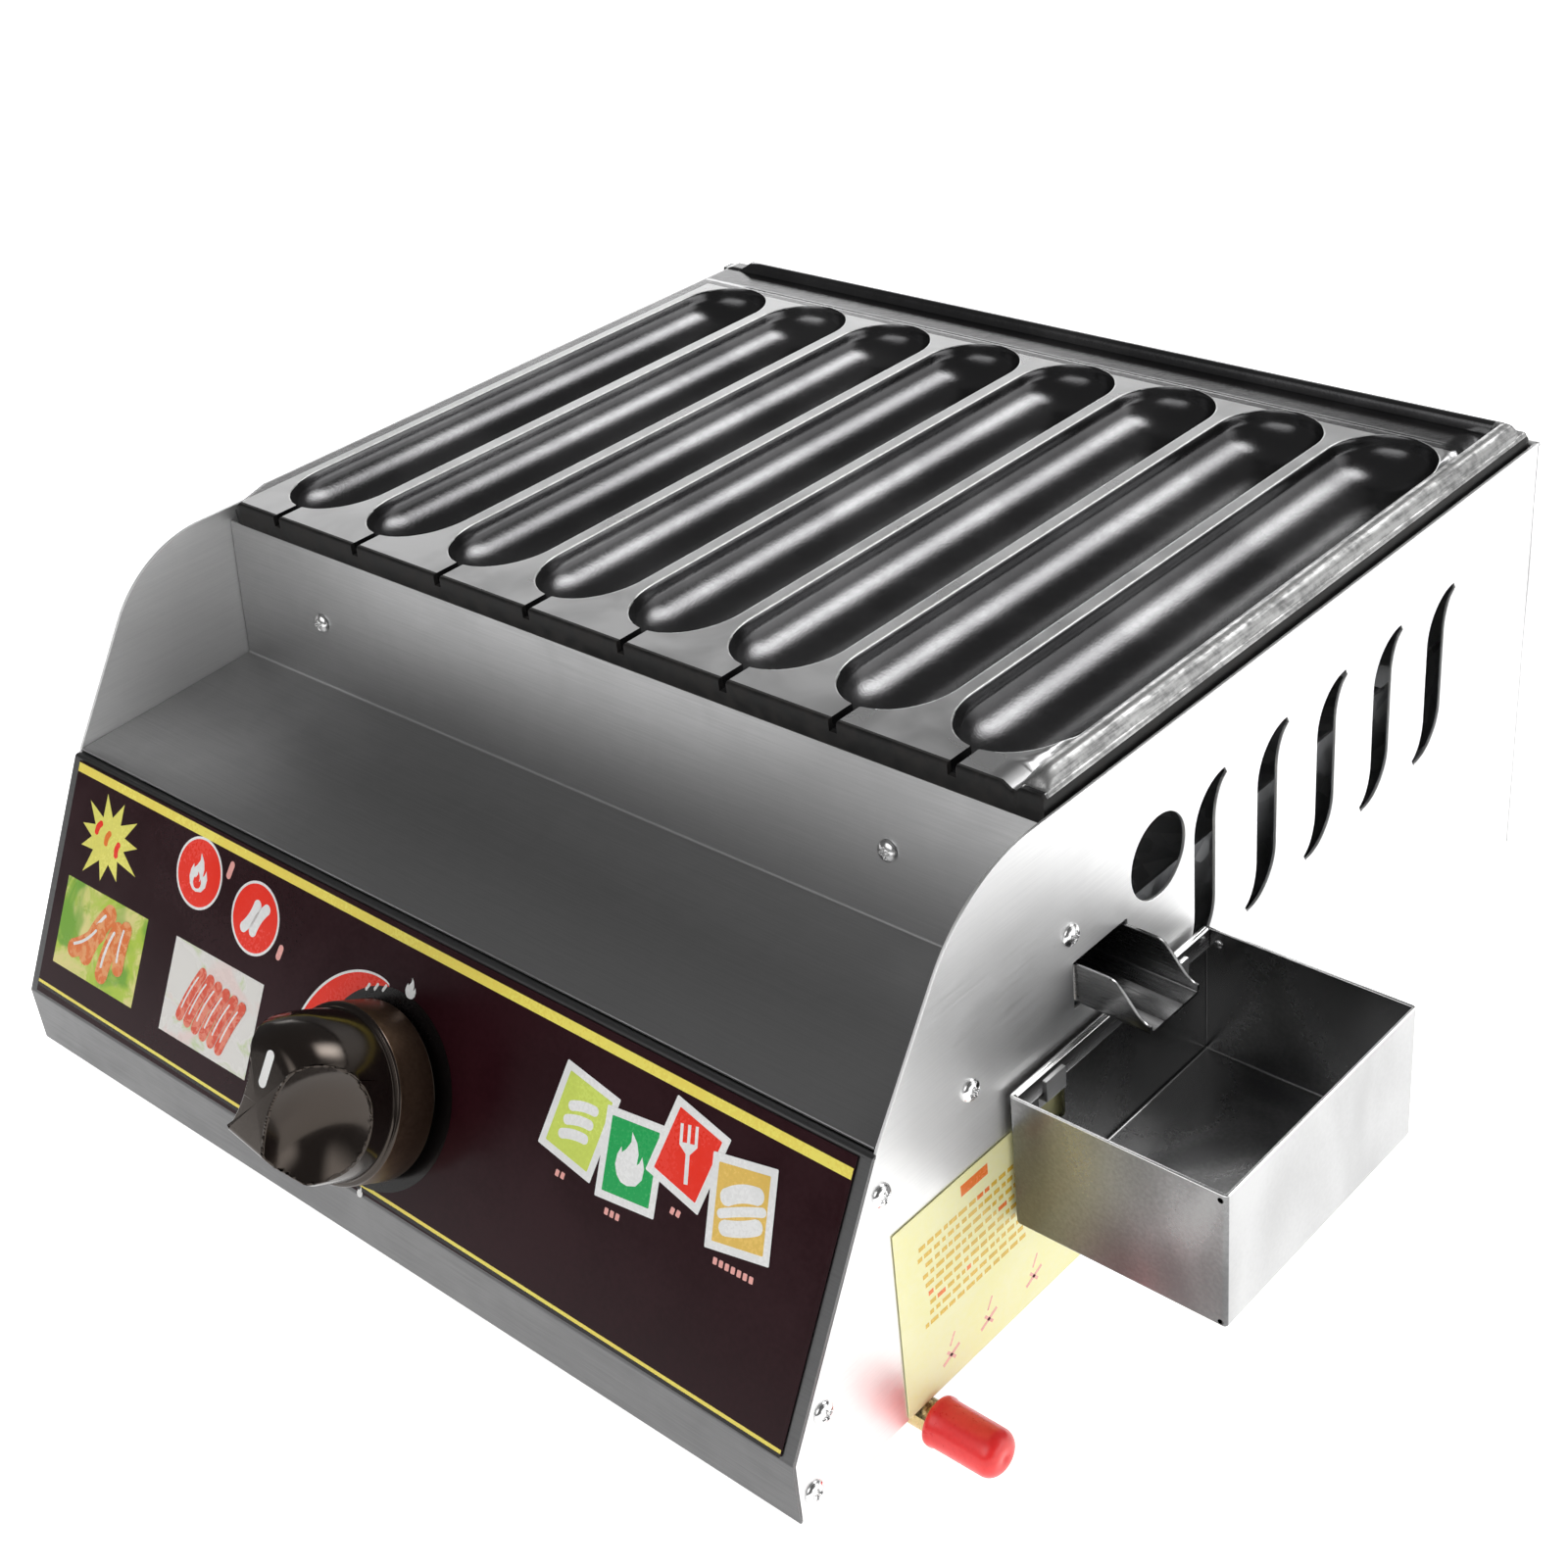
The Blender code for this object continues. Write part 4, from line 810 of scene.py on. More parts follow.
def plate_rows():
    front = [FRONT_Y, -1.4, -1.2, -0.9, *np.arange(-0.6, TIP_Y, 0.5)]
    turn = np.linspace(0, math.pi / 2, 30)
    tip = list(TIP_Y + 24 * (1 - np.cos(turn)) + 2 * turn / (math.pi / 2))
    middle = list(np.linspace(44, END_Y - GROOVE_R - 6, 12))
    end = list(END_Y - GROOVE_R * (1 - np.sin(np.linspace(0, math.pi / 2, 34))))
    rear = list(np.arange(END_Y + 0.5, BACK_Y, 0.6)) + [BACK_Y]
    rows = sorted(set(round(float(y), 3) for y in front + tip + middle + end + rear))
    kept = [rows[0]]
    for y in rows[1:]:
        if y - kept[-1] > 0.12:
            kept.append(y)
    return np.array(kept)


INSIDE = np.array([0, .12, .24, .36, .48, .6, .7, .78, .84, .88, .91, .93, .945, .958, .97, .98,
                   .99, 1.0])
OUTSIDE = np.array([.03, .08, .15, .28, .5, .75, 1.0])


def plate_columns(width):
    """X of each column in one row: they follow the grooves' outlines."""
    half = PITCH / 2
    columns = list(np.linspace(-PLATE_HALF, CENTRES[0] - half, 12))
    for index, centre in enumerate(CENTRES):
        left = [centre - width - (half - width) * m for m in OUTSIDE[::-1]]
        columns += left if index == 0 else left[1:]
        columns += [centre - width * k for k in INSIDE[::-1]]
        columns += [centre + width * k for k in INSIDE[1:]]
        columns += [centre + width + (half - width) * m for m in OUTSIDE]
    edge = CENTRES[-1] + half
    columns += list(edge + (PLATE_HALF - edge) * np.linspace(0, 1, 6)[1:])
    return np.array(columns)


def corner_cut(y):
    """How far the cut front-left corner takes the left edge in, at each y."""
    return np.maximum(FRONT_Y + CUT_DEPTH - y, 0) * CUT_SLOPE / CUT_DEPTH


def plate_height(x, y, width, slope):
    """Height of the plate's top face, in millimetres over the casing's bottom edge."""
    z = np.full(x.shape, TOP)
    index = np.clip(np.round((x - CENTRES[0]) / PITCH), 0, 7)
    u = np.abs(x - (CENTRES[0] + PITCH * index))
    k = np.clip(u / width, 0, 1)
    turn = np.clip((y - TIP_Y) / 26, 0, 1)
    share = np.sqrt(np.clip(1 - (1 - turn) ** 2, 0, 1))
    depth = GROOVE_DEPTH * np.where(y < 60, 0.3 + 0.7 * share, 1)
    rear = np.clip((y - END_Y + GROOVE_R) / GROOVE_R, 0, 1)
    depth = depth * np.maximum(1 - rear ** 2, 0) ** 0.5
    gap = np.where(y > END_Y - GROOVE_R, GROOVE_R - np.hypot(u, y - END_Y + GROOVE_R),
                   (width - u) / np.sqrt(1 + slope ** 2))
    groove = depth * np.maximum(1 - k ** 2, 0) ** 0.55 * smooth(gap, 0.0, SLIT_HALF)
    groove = np.where((y < TIP_Y) | (y > END_Y), 0, groove)
    slit = np.where((u < 1.62) & (y < TIP_Y + 1.5), np.where(y > 3.2, 9.0, 4.2), 0.0)
    z = z - np.maximum(groove, slit)
    # softly sunk field between the grooves and the two beads
    z = z - FIELD_SINK * smooth(y, 268.5, 271.5) * smooth(-y, -287.0, -284.6)
    # front and left edges fall away
    front = np.clip(1 - (y - FRONT_Y) / 0.9, 0, 1)
    z = np.minimum(z, TOP - 1.0 * (1 - np.sqrt(np.maximum(1 - front ** 2, 0))))
    left = x + PLATE_HALF - corner_cut(y)
    z = np.minimum(z, TOP - 3.6 * smooth(-left, -3.6, 0.4))
    back_fall = np.clip(1 - (BACK_Y - y) / 1.4, 0, 1)
    # side bead with a rounded front end, and the black gutter beside it
    bead = np.maximum(1 - ((x - BEAD_X) / BEAD_HALF) ** 2, 0)
    nose = np.sqrt(np.maximum(1 - np.clip(1 - (y - 1.8) / 9, 0, 1) ** 2, 0))
    tail = smooth(-y, -291.0, -287.5)
    gutter = smooth(x, 183.4, 185.4) * smooth(-x, -188.6, -186.9)
    z = z - GUTTER_SINK * gutter * smooth(-y, -286, -280)
    z = np.maximum(z, np.where(bead > 0, TOP - 1.2 + BEAD_RISE * np.sqrt(bead) * nose * tail, 0))
    # back bead: a low wall with a rounded top
    wall = np.clip(1 - ((y - BACK_BEAD_Y) / BACK_BEAD_HALF) ** 2, 0, 1) ** 0.3
    span = smooth(x, -187.0, -184.6) * smooth(-x, -191.0, -189.5)
    z = np.maximum(z, np.where(wall > 0, TOP - 0.5 + BACK_BEAD_RISE * wall * span, 0))
    outer = x > PLATE_HALF - 0.9
    z = np.where(outer, np.minimum(z, TOP - 1.4), z)
    z = z - 1.6 * back_fall
    return z


def bead_columns():
    """Columns across the side bead."""
    return [BEAD_X - BEAD_HALF * math.cos(math.pi * k / 12) for k in range(13)] + [196.65]


def grill_plate():
    rows = plate_rows()
    widths = groove_width(rows)
    slopes = np.abs(np.gradient(widths, rows))
    grid_x = np.array([plate_columns(width) for width in widths])
    extra = [185.0, 186.2, 187.2, *bead_columns()]
    grid_x = np.sort(np.concatenate([grid_x, np.tile(extra, (len(rows), 1))], axis=1), axis=1)
    count = grid_x.shape[1]
    grid_y = np.tile(rows[:, None], (1, count))
    grid_x = np.maximum(grid_x, -PLATE_HALF + corner_cut(grid_y))
    grid_x[:, 1:12] = np.maximum(grid_x[:, 1:12], grid_x[:, :1] + np.arange(1, 12) * 0.01)
    grid_z = plate_height(grid_x, grid_y, widths[:, None], slopes[:, None])
    bm = bmesh.new()
    verts = [[bm.verts.new(at(float(grid_x[r, c]), float(grid_y[r, c]), float(grid_z[r, c])))
              for c in range(count)] for r in range(len(rows))]
    for r in range(len(rows) - 1):
        for c in range(count - 1):
            face = bm.faces.new((verts[r][c], verts[r][c + 1],
                                 verts[r + 1][c + 1], verts[r + 1][c]))
            centre = grid_x[r, c:c + 2].mean()
            nearest = int(np.clip(round((centre - CENTRES[0]) / PITCH), 0, 7))
            from_groove = abs(centre - CENTRES[nearest])
            if centre > 186.9 and rows[r] > 1.0:
                face.material_index = BEAD_SLOT
            # a narrow band round each groove's rim takes the pale coat: painted highlight
            elif TIP_Y + 1 < rows[r] < END_Y - 0.5 and -0.45 < from_groove - widths[r] < 0.3:
                face.material_index = GROOVE_RIM_HIGHLIGHT_SLOT
            elif rows[r] < 0:
                face.material_index = RAW_SLOT
            # the lands between the grooves take the paler copy of the coat: painted light
            elif rows[r] < END_Y - 3 and widths[r] < from_groove < 24:
                face.material_index = LAND_SLOT
    border = [verts[0][c] for c in range(count)]
    border += [verts[r][-1] for r in range(1, len(rows))]
    border += [verts[-1][c] for c in range(count - 2, -1, -1)]
    border += [verts[r][0] for r in range(len(rows) - 2, 0, -1)]
    # the underside: rings of the border, each at a height and scaled in x and y
    previous = border
    middle = at(0, 146, 0)
    for level, wide, deep in UNDERSIDE:
        height = at(0, 0, level).z
        ring = [bm.verts.new((middle.x + (vert.co.x - middle.x) * wide,
                              middle.y + (vert.co.y - middle.y) * deep, height)) for vert in border]
        for side in bridge(bm, previous, ring):
            side.material_index = RAW_SLOT
        previous = ring
    bm.faces.new(previous).material_index = RAW_SLOT
    piece("grill_plate_casting", bm, [COAT, BEAD, GROOVE_RIM_HIGHLIGHT, LAND, RAW], "grill_plate_body",
          ["grill_plate"], 62)


grill_plate()


# ------------------------------------------------------------------ spout and drip box
def trough_floor(x):
    share = (x + HALF_W - SHEET) / (2 * HALF_W - SHEET)
    return SPOUT_Z[0] + 8 * (1 - share)


def channel_ring(x, wall, front, rear):
    """Section of the trough at one x: outer side, then inner side, with round bends."""
    floor = trough_floor(x)
    base, bend = floor - SHEET, 1.9
    quarter = math.pi / 2
    ring = [(front, wall)]
    ring += arc(front + bend, base + bend, bend, math.pi, quarter, 5)
    ring += arc(rear - bend, base + bend, bend, -quarter, quarter, 5)
    ring += [(rear, wall), (rear - SHEET * 0.5, wall + 0.2), (rear - SHEET, wall)]
    small = bend - SHEET
    ring += arc(rear - bend, base + bend, small, 0, -quarter, 5)
    width = rear - front
    for middle in (0.3, -0.08):
        for share, rise in ((0.38, 0.0), (0.36, 0.45), (0.34, 0.0)):
            ring.append((front + width * share + width * middle, floor + rise * 0.6))
    ring += arc(front + bend, base + bend, small, -quarter, -quarter, 5)
    ring += [(front + SHEET, wall), (front + SHEET * 0.5, wall + 0.2)]
    return [at(x, a, b) for a, b in ring]


def trough():
    front, rear = SPOUT_Y
    start, straight, reach = -HALF_W + SHEET + 4, HALF_W + 12, HALF_W + 27
    wall_top, wall_drop = SPOUT_Z[1] - 0.2, 12.1
    stations = [(x, wall_top) for x in (start, start + 60, -60, 60, 150, HALF_W, straight)]
    for step in range(1, 19):
        t = step / 18
        drop = (1 - math.cos(math.pi * t)) / 2
        stations.append((straight + (reach - straight) * t, wall_top - drop * wall_drop))
    bm = bmesh.new()
    loft(bm, [channel_ring(x, max(wall, trough_floor(x) + 0.75), front, rear)
              for x, wall in stations])
    low = trough_floor(start) - SHEET + 0.4
    end = [(front + 0.3, low), (rear - 0.3, low), (rear - 0.3, SPOUT_Z[1]),
           (front + 0.3, SPOUT_Z[1])]
    loft(bm, [[at(start + side * SHEET / 2, a, b) for a, b in end] for side in (-1, 1)])
    piece("grease_trough_sheet", bm, SPOUT, hides=["grease_trough"], angle=40)


trough()

BOX_X = (HALF_W + 2, HALF_W + 2 + 76.5)
BOX_Y = (-30.5, 75.5)
BOX_Z = (41.5, 92.5)
WINDOWS, WINDOW_HALF, WINDOW_Z = (-11.0, 56.0), 6.5, (68.2, 83.2)


def box_ring(pull, z, corner):
    outline = round_box(BOX_X[0] + pull, BOX_X[1] - pull, BOX_Y[0] + pull, BOX_Y[1] - pull,
                        max(corner - pull, 0.25), 6)
    return [at(a, b, z) for a, b in outline]


def drip_box():
    low, high = BOX_Z
    levels = [(1.1, low), (0.32, low + 0.32), (0.0, low + 1.1), (0.0, high - 0.35),
              (0.1, high - 0.1), (0.35, high), (0.85, high), (1.1, high - 0.1), (1.2, high - 0.35),
              (1.2, low + 2.2), (1.5, low + 1.5), (2.2, low + 1.2)]
    bm = bmesh.new()
    rings = [[bm.verts.new(point) for point in box_ring(pull, z, 1.5)] for pull, z in levels]
    outside, rim = range(3), range(3, 8)
    middle = at((BOX_X[0] + BOX_X[1]) / 2, 0, 0).x
    for index, (one, two) in enumerate(zip(rings, rings[1:])):
        for face in bridge(bm, one, two):
            start, end = face.verts[0].co, face.verts[1].co
            right = abs(start.x - end.x) < 1e-4 and start.x > middle
            # the rim's faces take the pale copy of the box's steel: painted highlight
            if index in rim:
                face.material_index = 1
            # the outer right face takes the paler copy of the box's steel: painted light
            elif index in outside and right:
                face.material_index = 2
    bm.faces.new(list(reversed(rings[0])))
    bm.faces.new(rings[-1])
    made = piece("drip_box_tray", bm, [BOX, RIM_HIGHLIGHT, BOX_LIT_SIDE], "drip_box_body",
                 ["drip_box"], 50)

    def windows(tool):
        for centre in WINDOWS:
            outline = round_box(centre - WINDOW_HALF, centre + WINDOW_HALF, *WINDOW_Z, 0.8, 3)
            loft(tool, [[at(x, a, b) for a, b in outline] for x in (BOX_X[0] - 3, BOX_X[0] + 3.6)])

    cut(made, windows)
    made.data.set_sharp_from_angle(angle=math.radians(50))
    flat_shading(made, True)

    # the folded hem inside the rim, also in the pale rim steel: painted highlight
    bm = bmesh.new()
    inner = BOX_X[0] + SHEET + 0.02
    hem = [(inner, 92.2), (inner + 0.9, 92.2), (inner + 0.9, 85.4), (inner + 0.2, 85.0)]
    bent_sheet(bm, rounded(hem, 0.3, 3), 0.35, (BOX_Y[0] + 1.6, BOX_Y[1] - 1.6),
               lambda u, a, b: at(a, u, b))
    piece("drip_box_hem", bm, RIM_HIGHLIGHT, "drip_box_body", angle=50)

    # two black discs near the front wall's outer corners stand for the dark of small relief holes:
    # painted shade
    marks = bmesh.new()
    for x, z, radius in ((BOX_X[1] - 2.2, 90.2, 1.0), (BOX_X[1] - 2.0, 43.4, 1.0)):
        spot(marks, at(x, BOX_Y[0] + 0.05, z), Vector((0, -1, 0)), radius, 0.05)
    piece("drip_box_corner_hole_shade", marks, INK_BLACK, "drip_box_body")
    rivet = bmesh.new()
    dome(rivet, at(BOX_X[0] + 6, BOX_Y[1] - SHEET, 87.5), Vector((0, -1, 0)), 1.7, 0.9)
    piece("drip_box_rivet", rivet, SCREW, "drip_box_body")


drip_box()


# ------------------------------------------------------------------ screws
def screw_mesh():
    """Domed head with a cross recess and a rolled rim, in metres round local Z."""
    radii = [0.0, 0.35, 0.7, 1.05, 1.4, 1.7, 2.0, 2.3, 2.7, 3.1, 3.4, 3.6, 3.75, 3.86]
    head_r, head_rise, recess_depth = 3.98, 2.25, 1.15
    sides = 48
    bm = bmesh.new()
    rings = []
    for radius in radii:
        ring = []
        for k in range(sides if radius else 1):
            turn = 2 * math.pi * k / sides
            x, y = radius * math.cos(turn), radius * math.sin(turn)
            height = head_rise * math.sqrt(max(1 - (radius / head_r) ** 2, 0))
            arm = min(abs(x), abs(y))
            far = max(abs(x), abs(y))
            inside = max(0, min(1, (0.62 - arm) / 0.22)) * max(0, min(1, (2.15 - far) / 0.35))
            core = max(0, min(1, (1.0 - radius) / 0.3))
            height -= recess_depth * max(inside, core)
            ring.append(bm.verts.new((x * MM, y * MM, height * MM)))
        rings.append(ring)
    for height, radius in ((0.1, 3.9), (0.02, 3.8), (0.02, 1.9), (-4.0, 1.9)):
        rings.append([bm.verts.new((x, y, height * MM))
                      for x, y in circle((0, 0), radius * MM, sides)])
    rings.append([bm.verts.new((0, 0, -4.4 * MM))])
    turned_faces(bm, rings, sides)
    return solid_mesh(bm, "screw")


def screws():
    seeded = random.Random(7)
    pattern = screw_mesh()
    for side, label in ((-1, "left"), (1, "right")):
        for index, (y, z) in enumerate(PANEL_SCREWS):
            add_screw(pattern, f"panel_screw_{label}_{index + 1}", at(side * HALF_W, y, z),
                      Vector((side, 0, 0)), seeded)
    z = 141
    share = (z - RISER_FOOT[1]) / (RISER_TOP[1] - RISER_FOOT[1])
    for index, x in enumerate((-146.0, 137.0)):
        add_screw(pattern, f"riser_screw_{index + 1}", at(x, RISER_FOOT[0] * (1 - share) - 0.1, z),
                  Vector((0, -1, 0.1)).normalized(), seeded)
    number = 0
    for x in (-186.0, 186.0):
        for z in (20.0, 150.0):
            number += 1
            add_screw(pattern, f"back_screw_{number}", at(x, REAR_Y, z), Vector((0, 1, 0)), seeded)


def add_screw(pattern, node, place, heading, seeded):
    mesh = pattern.copy()
    spin = Matrix.Rotation(seeded.uniform(0, math.pi), 4, "Z")
    mesh.transform(Matrix.Translation(place) @ turned_to(heading) @ spin)
    dress(node + "_head", mesh, SCREW, "casing", [node], 38)


screws()


# ------------------------------------------------------------------ knob
def knob():
    """Skirt and pointer grip; two bowl-shaped scoops leave the grip bar."""
    skirt, step_z, top, bore = 30.6, 20.0, 53.0, 32.0
    profile = [(0, top), (16.5, top), (18.6, top - 0.1), (20.4, top - 0.5), (22.0, top - 1.5),
               (23.8, 49.7), (25.4, 47.4), (26.8, 44.3), (27.7, 41), (28.3, 37.6), (28.6, 34),
               (28.7, 25), (28.75, step_z + 0.8), (28.9, step_z + 0.2), (29.2, step_z)]
    profile += [(skirt - 1.2 + 1.2 * math.sin(t), step_z - 1.2 + 1.2 * math.cos(t))
                for t in (math.pi / 2 * k / 6 for k in range(7))]
    profile += [(skirt, 4.8), (skirt - 0.2, 4.3), (skirt - 0.6, 4.2), (skirt - 2.2, 4.2),
                (skirt - 2.4, 4.6), (skirt - 2.4, step_z - 5), (9, step_z - 5), (9, 6.2),
                (4.3, 6.2), (4.3, bore), (0, bore)]
    turned_frame = KNOB_FRAME @ Matrix.Rotation(math.radians(-7), 4, "Z")
    bm = bmesh.new()
    lathe(bm, profile, 180)
    for face in bm.faces:
        middle = face.calc_center_median()
        if 5 < middle.z < step_z - 1 and math.hypot(middle.x, middle.y) > skirt - 1:
            face.material_index = 1
    made = piece("knob_moulding", bm, [GLOSS, SKIRT], "knob_body", ["knob"], 40,
                 turned_frame)

    def scoops(tool):
        part = bmesh.new()
        for side in (-1, 1):
            rings = []
            for step in range(22):
                turn = math.radians(6 + 84 * step / 21)
                radius = 35 * math.sin(turn) ** 0.6
                rings.append([Vector((a, b, 53.5 - 25 * math.cos(turn)))
                              for a, b in circle((side * 42, 0), radius, 180)])
            rings.append([Vector((point.x, point.y, 60)) for point in rings[-1]])
            loft(part, rings)
        part.transform(turned_frame)
        join(tool, part)

    def low_end(tool):
        slope = [(-40, 20.6), (-28.4, 20.6), (-27.2, 24), (-25.9, 28), (-24.5, 32), (-22.9, 36),
                 (-21.1, 40), (-19.9, 43), (-18.5, 46), (-17.3, 48.6), (-16, 50.5), (-14.9, 52),
                 (-13.5, 53.5), (-13.5, 60), (-40, 60)]
        part = bmesh.new()
        loft(part, [[Vector((x, a, b)) for a, b in slope] for x in (-40, 40)])
        part.transform(turned_frame)
        join(tool, part)

    cut(made, scoops)
    cut(made, low_end)
    soften(made, 0.8, 4, 32, False)
    bm = bmesh.new()
    prism(bm, round_box(-1.9, 1.9, 6.0, 19.0, 1.8, 6), top - 0.3, top + 0.03)
    piece("knob_pointer", bm, POINTER, "knob_body", place=turned_frame)


knob()


# ------------------------------------------------------------------ prints on the film
def turned(outline, centre=(0, 0), scale=1.0, degrees=0.0):
    c, s = math.cos(math.radians(degrees)), math.sin(math.radians(degrees))
    return [(centre[0] + scale * (x * c - y * s), centre[1] + scale * (x * s + y * c))
            for x, y in outline]


FLAME = [(0, -5), (2.4, -4.4), (3.9, -2.6), (4.1, -0.2), (3.1, 2.2), (2.5, 0.6), (1.9, 0.1),
         (2.0, 2.4), (1.2, 4.6), (-0.6, 6.6), (-0.5, 4.4), (-1.6, 2.6), (-2.7, 1.6), (-3.0, 2.8),
         (-3.9, 0.9), (-4.1, -1.4), (-3.2, -3.5), (-1.8, -4.7)]


def sausage(length, width, bow=0.0, steps=10):
    """A bent capsule along local X."""
    half, radius = length / 2 - width / 2, width / 2
    loop = []
    for k in range(steps + 1):
        x = -half + 2 * half * k / steps
        loop.append((x, -radius + bow * (1 - (x / half) ** 2)))
    loop += [(half + radius * math.cos(t), radius * math.sin(t))
             for t in (math.radians(-60 + 20 * k) for k in range(7))]
    for k in range(steps + 1):
        x = half - 2 * half * k / steps
        loop.append((x, radius + bow * (1 - (x / half) ** 2)))
    loop += [(-half + radius * math.cos(t), radius * math.sin(t))
             for t in (math.radians(120 + 20 * k) for k in range(7))]
    return loop


def star(points, outer, inner, seeded=None):
    loop = []
    for k in range(points * 2):
        radius = inner if k % 2 else outer
        if seeded and k % 2 == 0:
            radius *= seeded.uniform(0.84, 1.1)
        turn = math.pi * k / points
        loop.append((radius * math.cos(turn), radius * math.sin(turn) * 0.86))
    return loop


FILM_TOP = GAP + 0.4
LAYER = 0.03


class Prints:
    """Thin inks on the film; each later layer lies a little higher."""

    def __init__(self):
        self.bm = bmesh.new()
        self.looks = []

    def put(self, outline, look, layer=0):
        if look not in self.looks:
            self.looks.append(look)
        low = FILM_TOP + LAYER * layer
        prism(self.bm, outline, low - 0.02, low + LAYER, self.looks.index(look))

    def place(self, outline, centre, look, layer=0, degrees=0.0, scale=1):
        self.put(turned(outline, centre, scale, degrees), look, layer)


def film_prints():
    prints = Prints()
    skew = -3.0 / 391
    left, right = -195.2, 195.2

    def tilt(x, s):
        return x, s + skew * (x + 195.5)

    for low, high, look in ((-7.2, -3.7, INK_YELLOW), (-92.6, -91.4, INK_YELLOW),
                            (-93.9, -92.7, INK_BLACK)):
        prints.put([tilt(left, low), tilt(right, low), tilt(right, high), tilt(left, high)], look)
    seeded = random.Random(3)
    prints.place(star(11, 20.5, 10.5, seeded), (-168.8, -26.9), INK_LEMON, 0, 8)
    for k, x in enumerate((-7, -0.5, 6.5)):
        prints.place(sausage(6.5, 2.6, 0.5), (-168.8 + x, -26.4 - 0.35 * x),
                     INK_RED if k % 2 == 0 else INK_ORANGE, 1, 64 + 10 * k)
    for centre in ((-112.4, -21.1), (-77.3, -26.3)):
        prints.put(circle(centre, 13.4), INK_WHITE)
        prints.put(circle(centre, 12.4), INK_RED, 1)
    prints.place(FLAME, (-112.4, -21.9), INK_WHITE, 2, 0.0, 1.25)
    prints.place(FLAME, (-112.6, -24.2), INK_RED, 3, 0.0, 0.55)
    for offset, bow in ((-2.6, -0.8), (2.6, 0.8)):
        prints.place(sausage(15, 4.2, bow), (-77.3 + offset, -26.3), INK_WHITE, 2, 62)
    for x, s, length in ((-95.6, -14.4, 7.0), (-60.9, -33.3, 6.0)):
        prints.place(sausage(length, 2.6), (x, s), INK_PINK, 1, 78)
    picture(prints, (-188.6, -136.0, -82.0, -47.0), FIELD, SAUSAGE,
            [((-164, -63), 30, 8.5, 62, 1.2), ((-155, -67), 27, 8, 74, 0.8),
             ((-170, -67), 26, 7.5, 38, -1), ((-148, -63), 22, 7, 86, 0.5)])
    rack = [((-103.5 + 5.0 * k, -64.5 - 0.8 * k), 25, 4.6, 66, 0.5) for k in range(6)]
    picture(prints, (-118.0, -65.5, -83.0, -47.0), TABLE, SAUSAGE_RED, rack)
    dial(prints)
    tiles(prints)
    piece("fascia_prints", prints.bm, prints.looks, "casing", angle=50,
          place=fascia_frame(0, 0))


def picture(prints, box, ground, look, rows):
    """A small printed food picture: a soft ground with sausages on it."""
    left, right, low, high = box
    prints.put([(left, low), (right, low), (right, high), (left, high)], ground)
    for layer, (centre, length, width, degrees, bow) in enumerate(rows):
        prints.place(sausage(length, width, bow), centre, look, 1 + layer, degrees)
        shine = (centre[0] - width * 0.18, centre[1] + width * 0.1)
        prints.place(sausage(length * 0.62, width * 0.16, bow), shine, INK_WHITE, 2 + layer,
                     degrees)


def dial(prints):
    """Black disc behind the knob, the red flow crescent and its small marks."""
    centre = (3.0, -59.0)
    start, end, base = 101, 176, 33.6
    crescent_outer, crescent_inner = [], []
    for k in range(33):
        t = k / 32
        degrees = start + (end - start) * t
        thick = 1.2 + 13.5 * t ** 0.75
        c, s = math.cos(math.radians(degrees)), math.sin(math.radians(degrees))
        crescent_outer.append((centre[0] + (base + thick) * c, centre[1] + (base + thick) * s))
        crescent_inner.append((centre[0] + base * c, centre[1] + base * s))
    edge = [(x + (x - centre[0]) * 0.022, y + (y - centre[1]) * 0.022) for x, y in crescent_outer]
    prints.put(edge + crescent_inner[::-1], INK_WHITE)
    prints.put(crescent_outer + crescent_inner[::-1], INK_RED, 1)
    prints.put(circle(centre, 34.6, 96), DIAL, 2)
    for x, s, scale in ((6.8, -22.3, 0.62), (3.7, -96.2, 0.34)):
        prints.place(FLAME, (x, s), INK_WHITE, 3, 0.0, scale)
    for x, s in ((-13.6, -28.6), (-9.6, -27.2), (-5.6, -26.2)):
        prints.place(sausage(3.4, 1.1), (x, s), INK_WHITE, 3, 62)


def tiles(prints):
    """Four tilted cards with plain pictures, and short caption bars."""
    cards = ((91.5, -34.5, 25, 30, -9, INK_LIME), (115.5, -38.0, 25, 29, 6, INK_GREEN),
             (136.5, -27.0, 24, 27, -12, INK_RED), (160.5, -34.0, 25, 29, 10, INK_GOLD))
    for layer, (x, s, wide, high, degrees, look) in enumerate(cards):
        card = round_box(-wide / 2, wide / 2, -high / 2, high / 2, 0.4, 2)
        field = round_box(-wide / 2 + 2.6, wide / 2 - 2.6, -high / 2 + 2.6, high / 2 - 2.6, 0.3, 2)
        base = layer * 3
        prints.place(card, (x, s), INK_WHITE, base, degrees)
        prints.place(field, (x, s), look, base + 1, degrees)
        for shape, dx, ds, scale, turn in card_picture(layer):
            c, r = math.cos(math.radians(degrees)), math.sin(math.radians(degrees))
            centre = (x + dx * c - ds * r, s + dx * r + ds * c)
            prints.place(shape, centre, INK_WHITE, base + 2, degrees + turn, scale)
    for x, s, wide, degrees in ((90, -53.5, 7, -6), (114, -56.5, 9, 0), (137.5, -45.5, 6, -8),
                                (163, -52.8, 17, 4)):
        for k in range(int(wide / 2.4)):
            place = (x - wide / 2 + 2.4 * k + 1.2, s + 0.05 * k)
            prints.place(round_box(-0.8, 0.8, -1.1, 1.1, 0.3, 2), place, INK_PINK, 1, degrees)


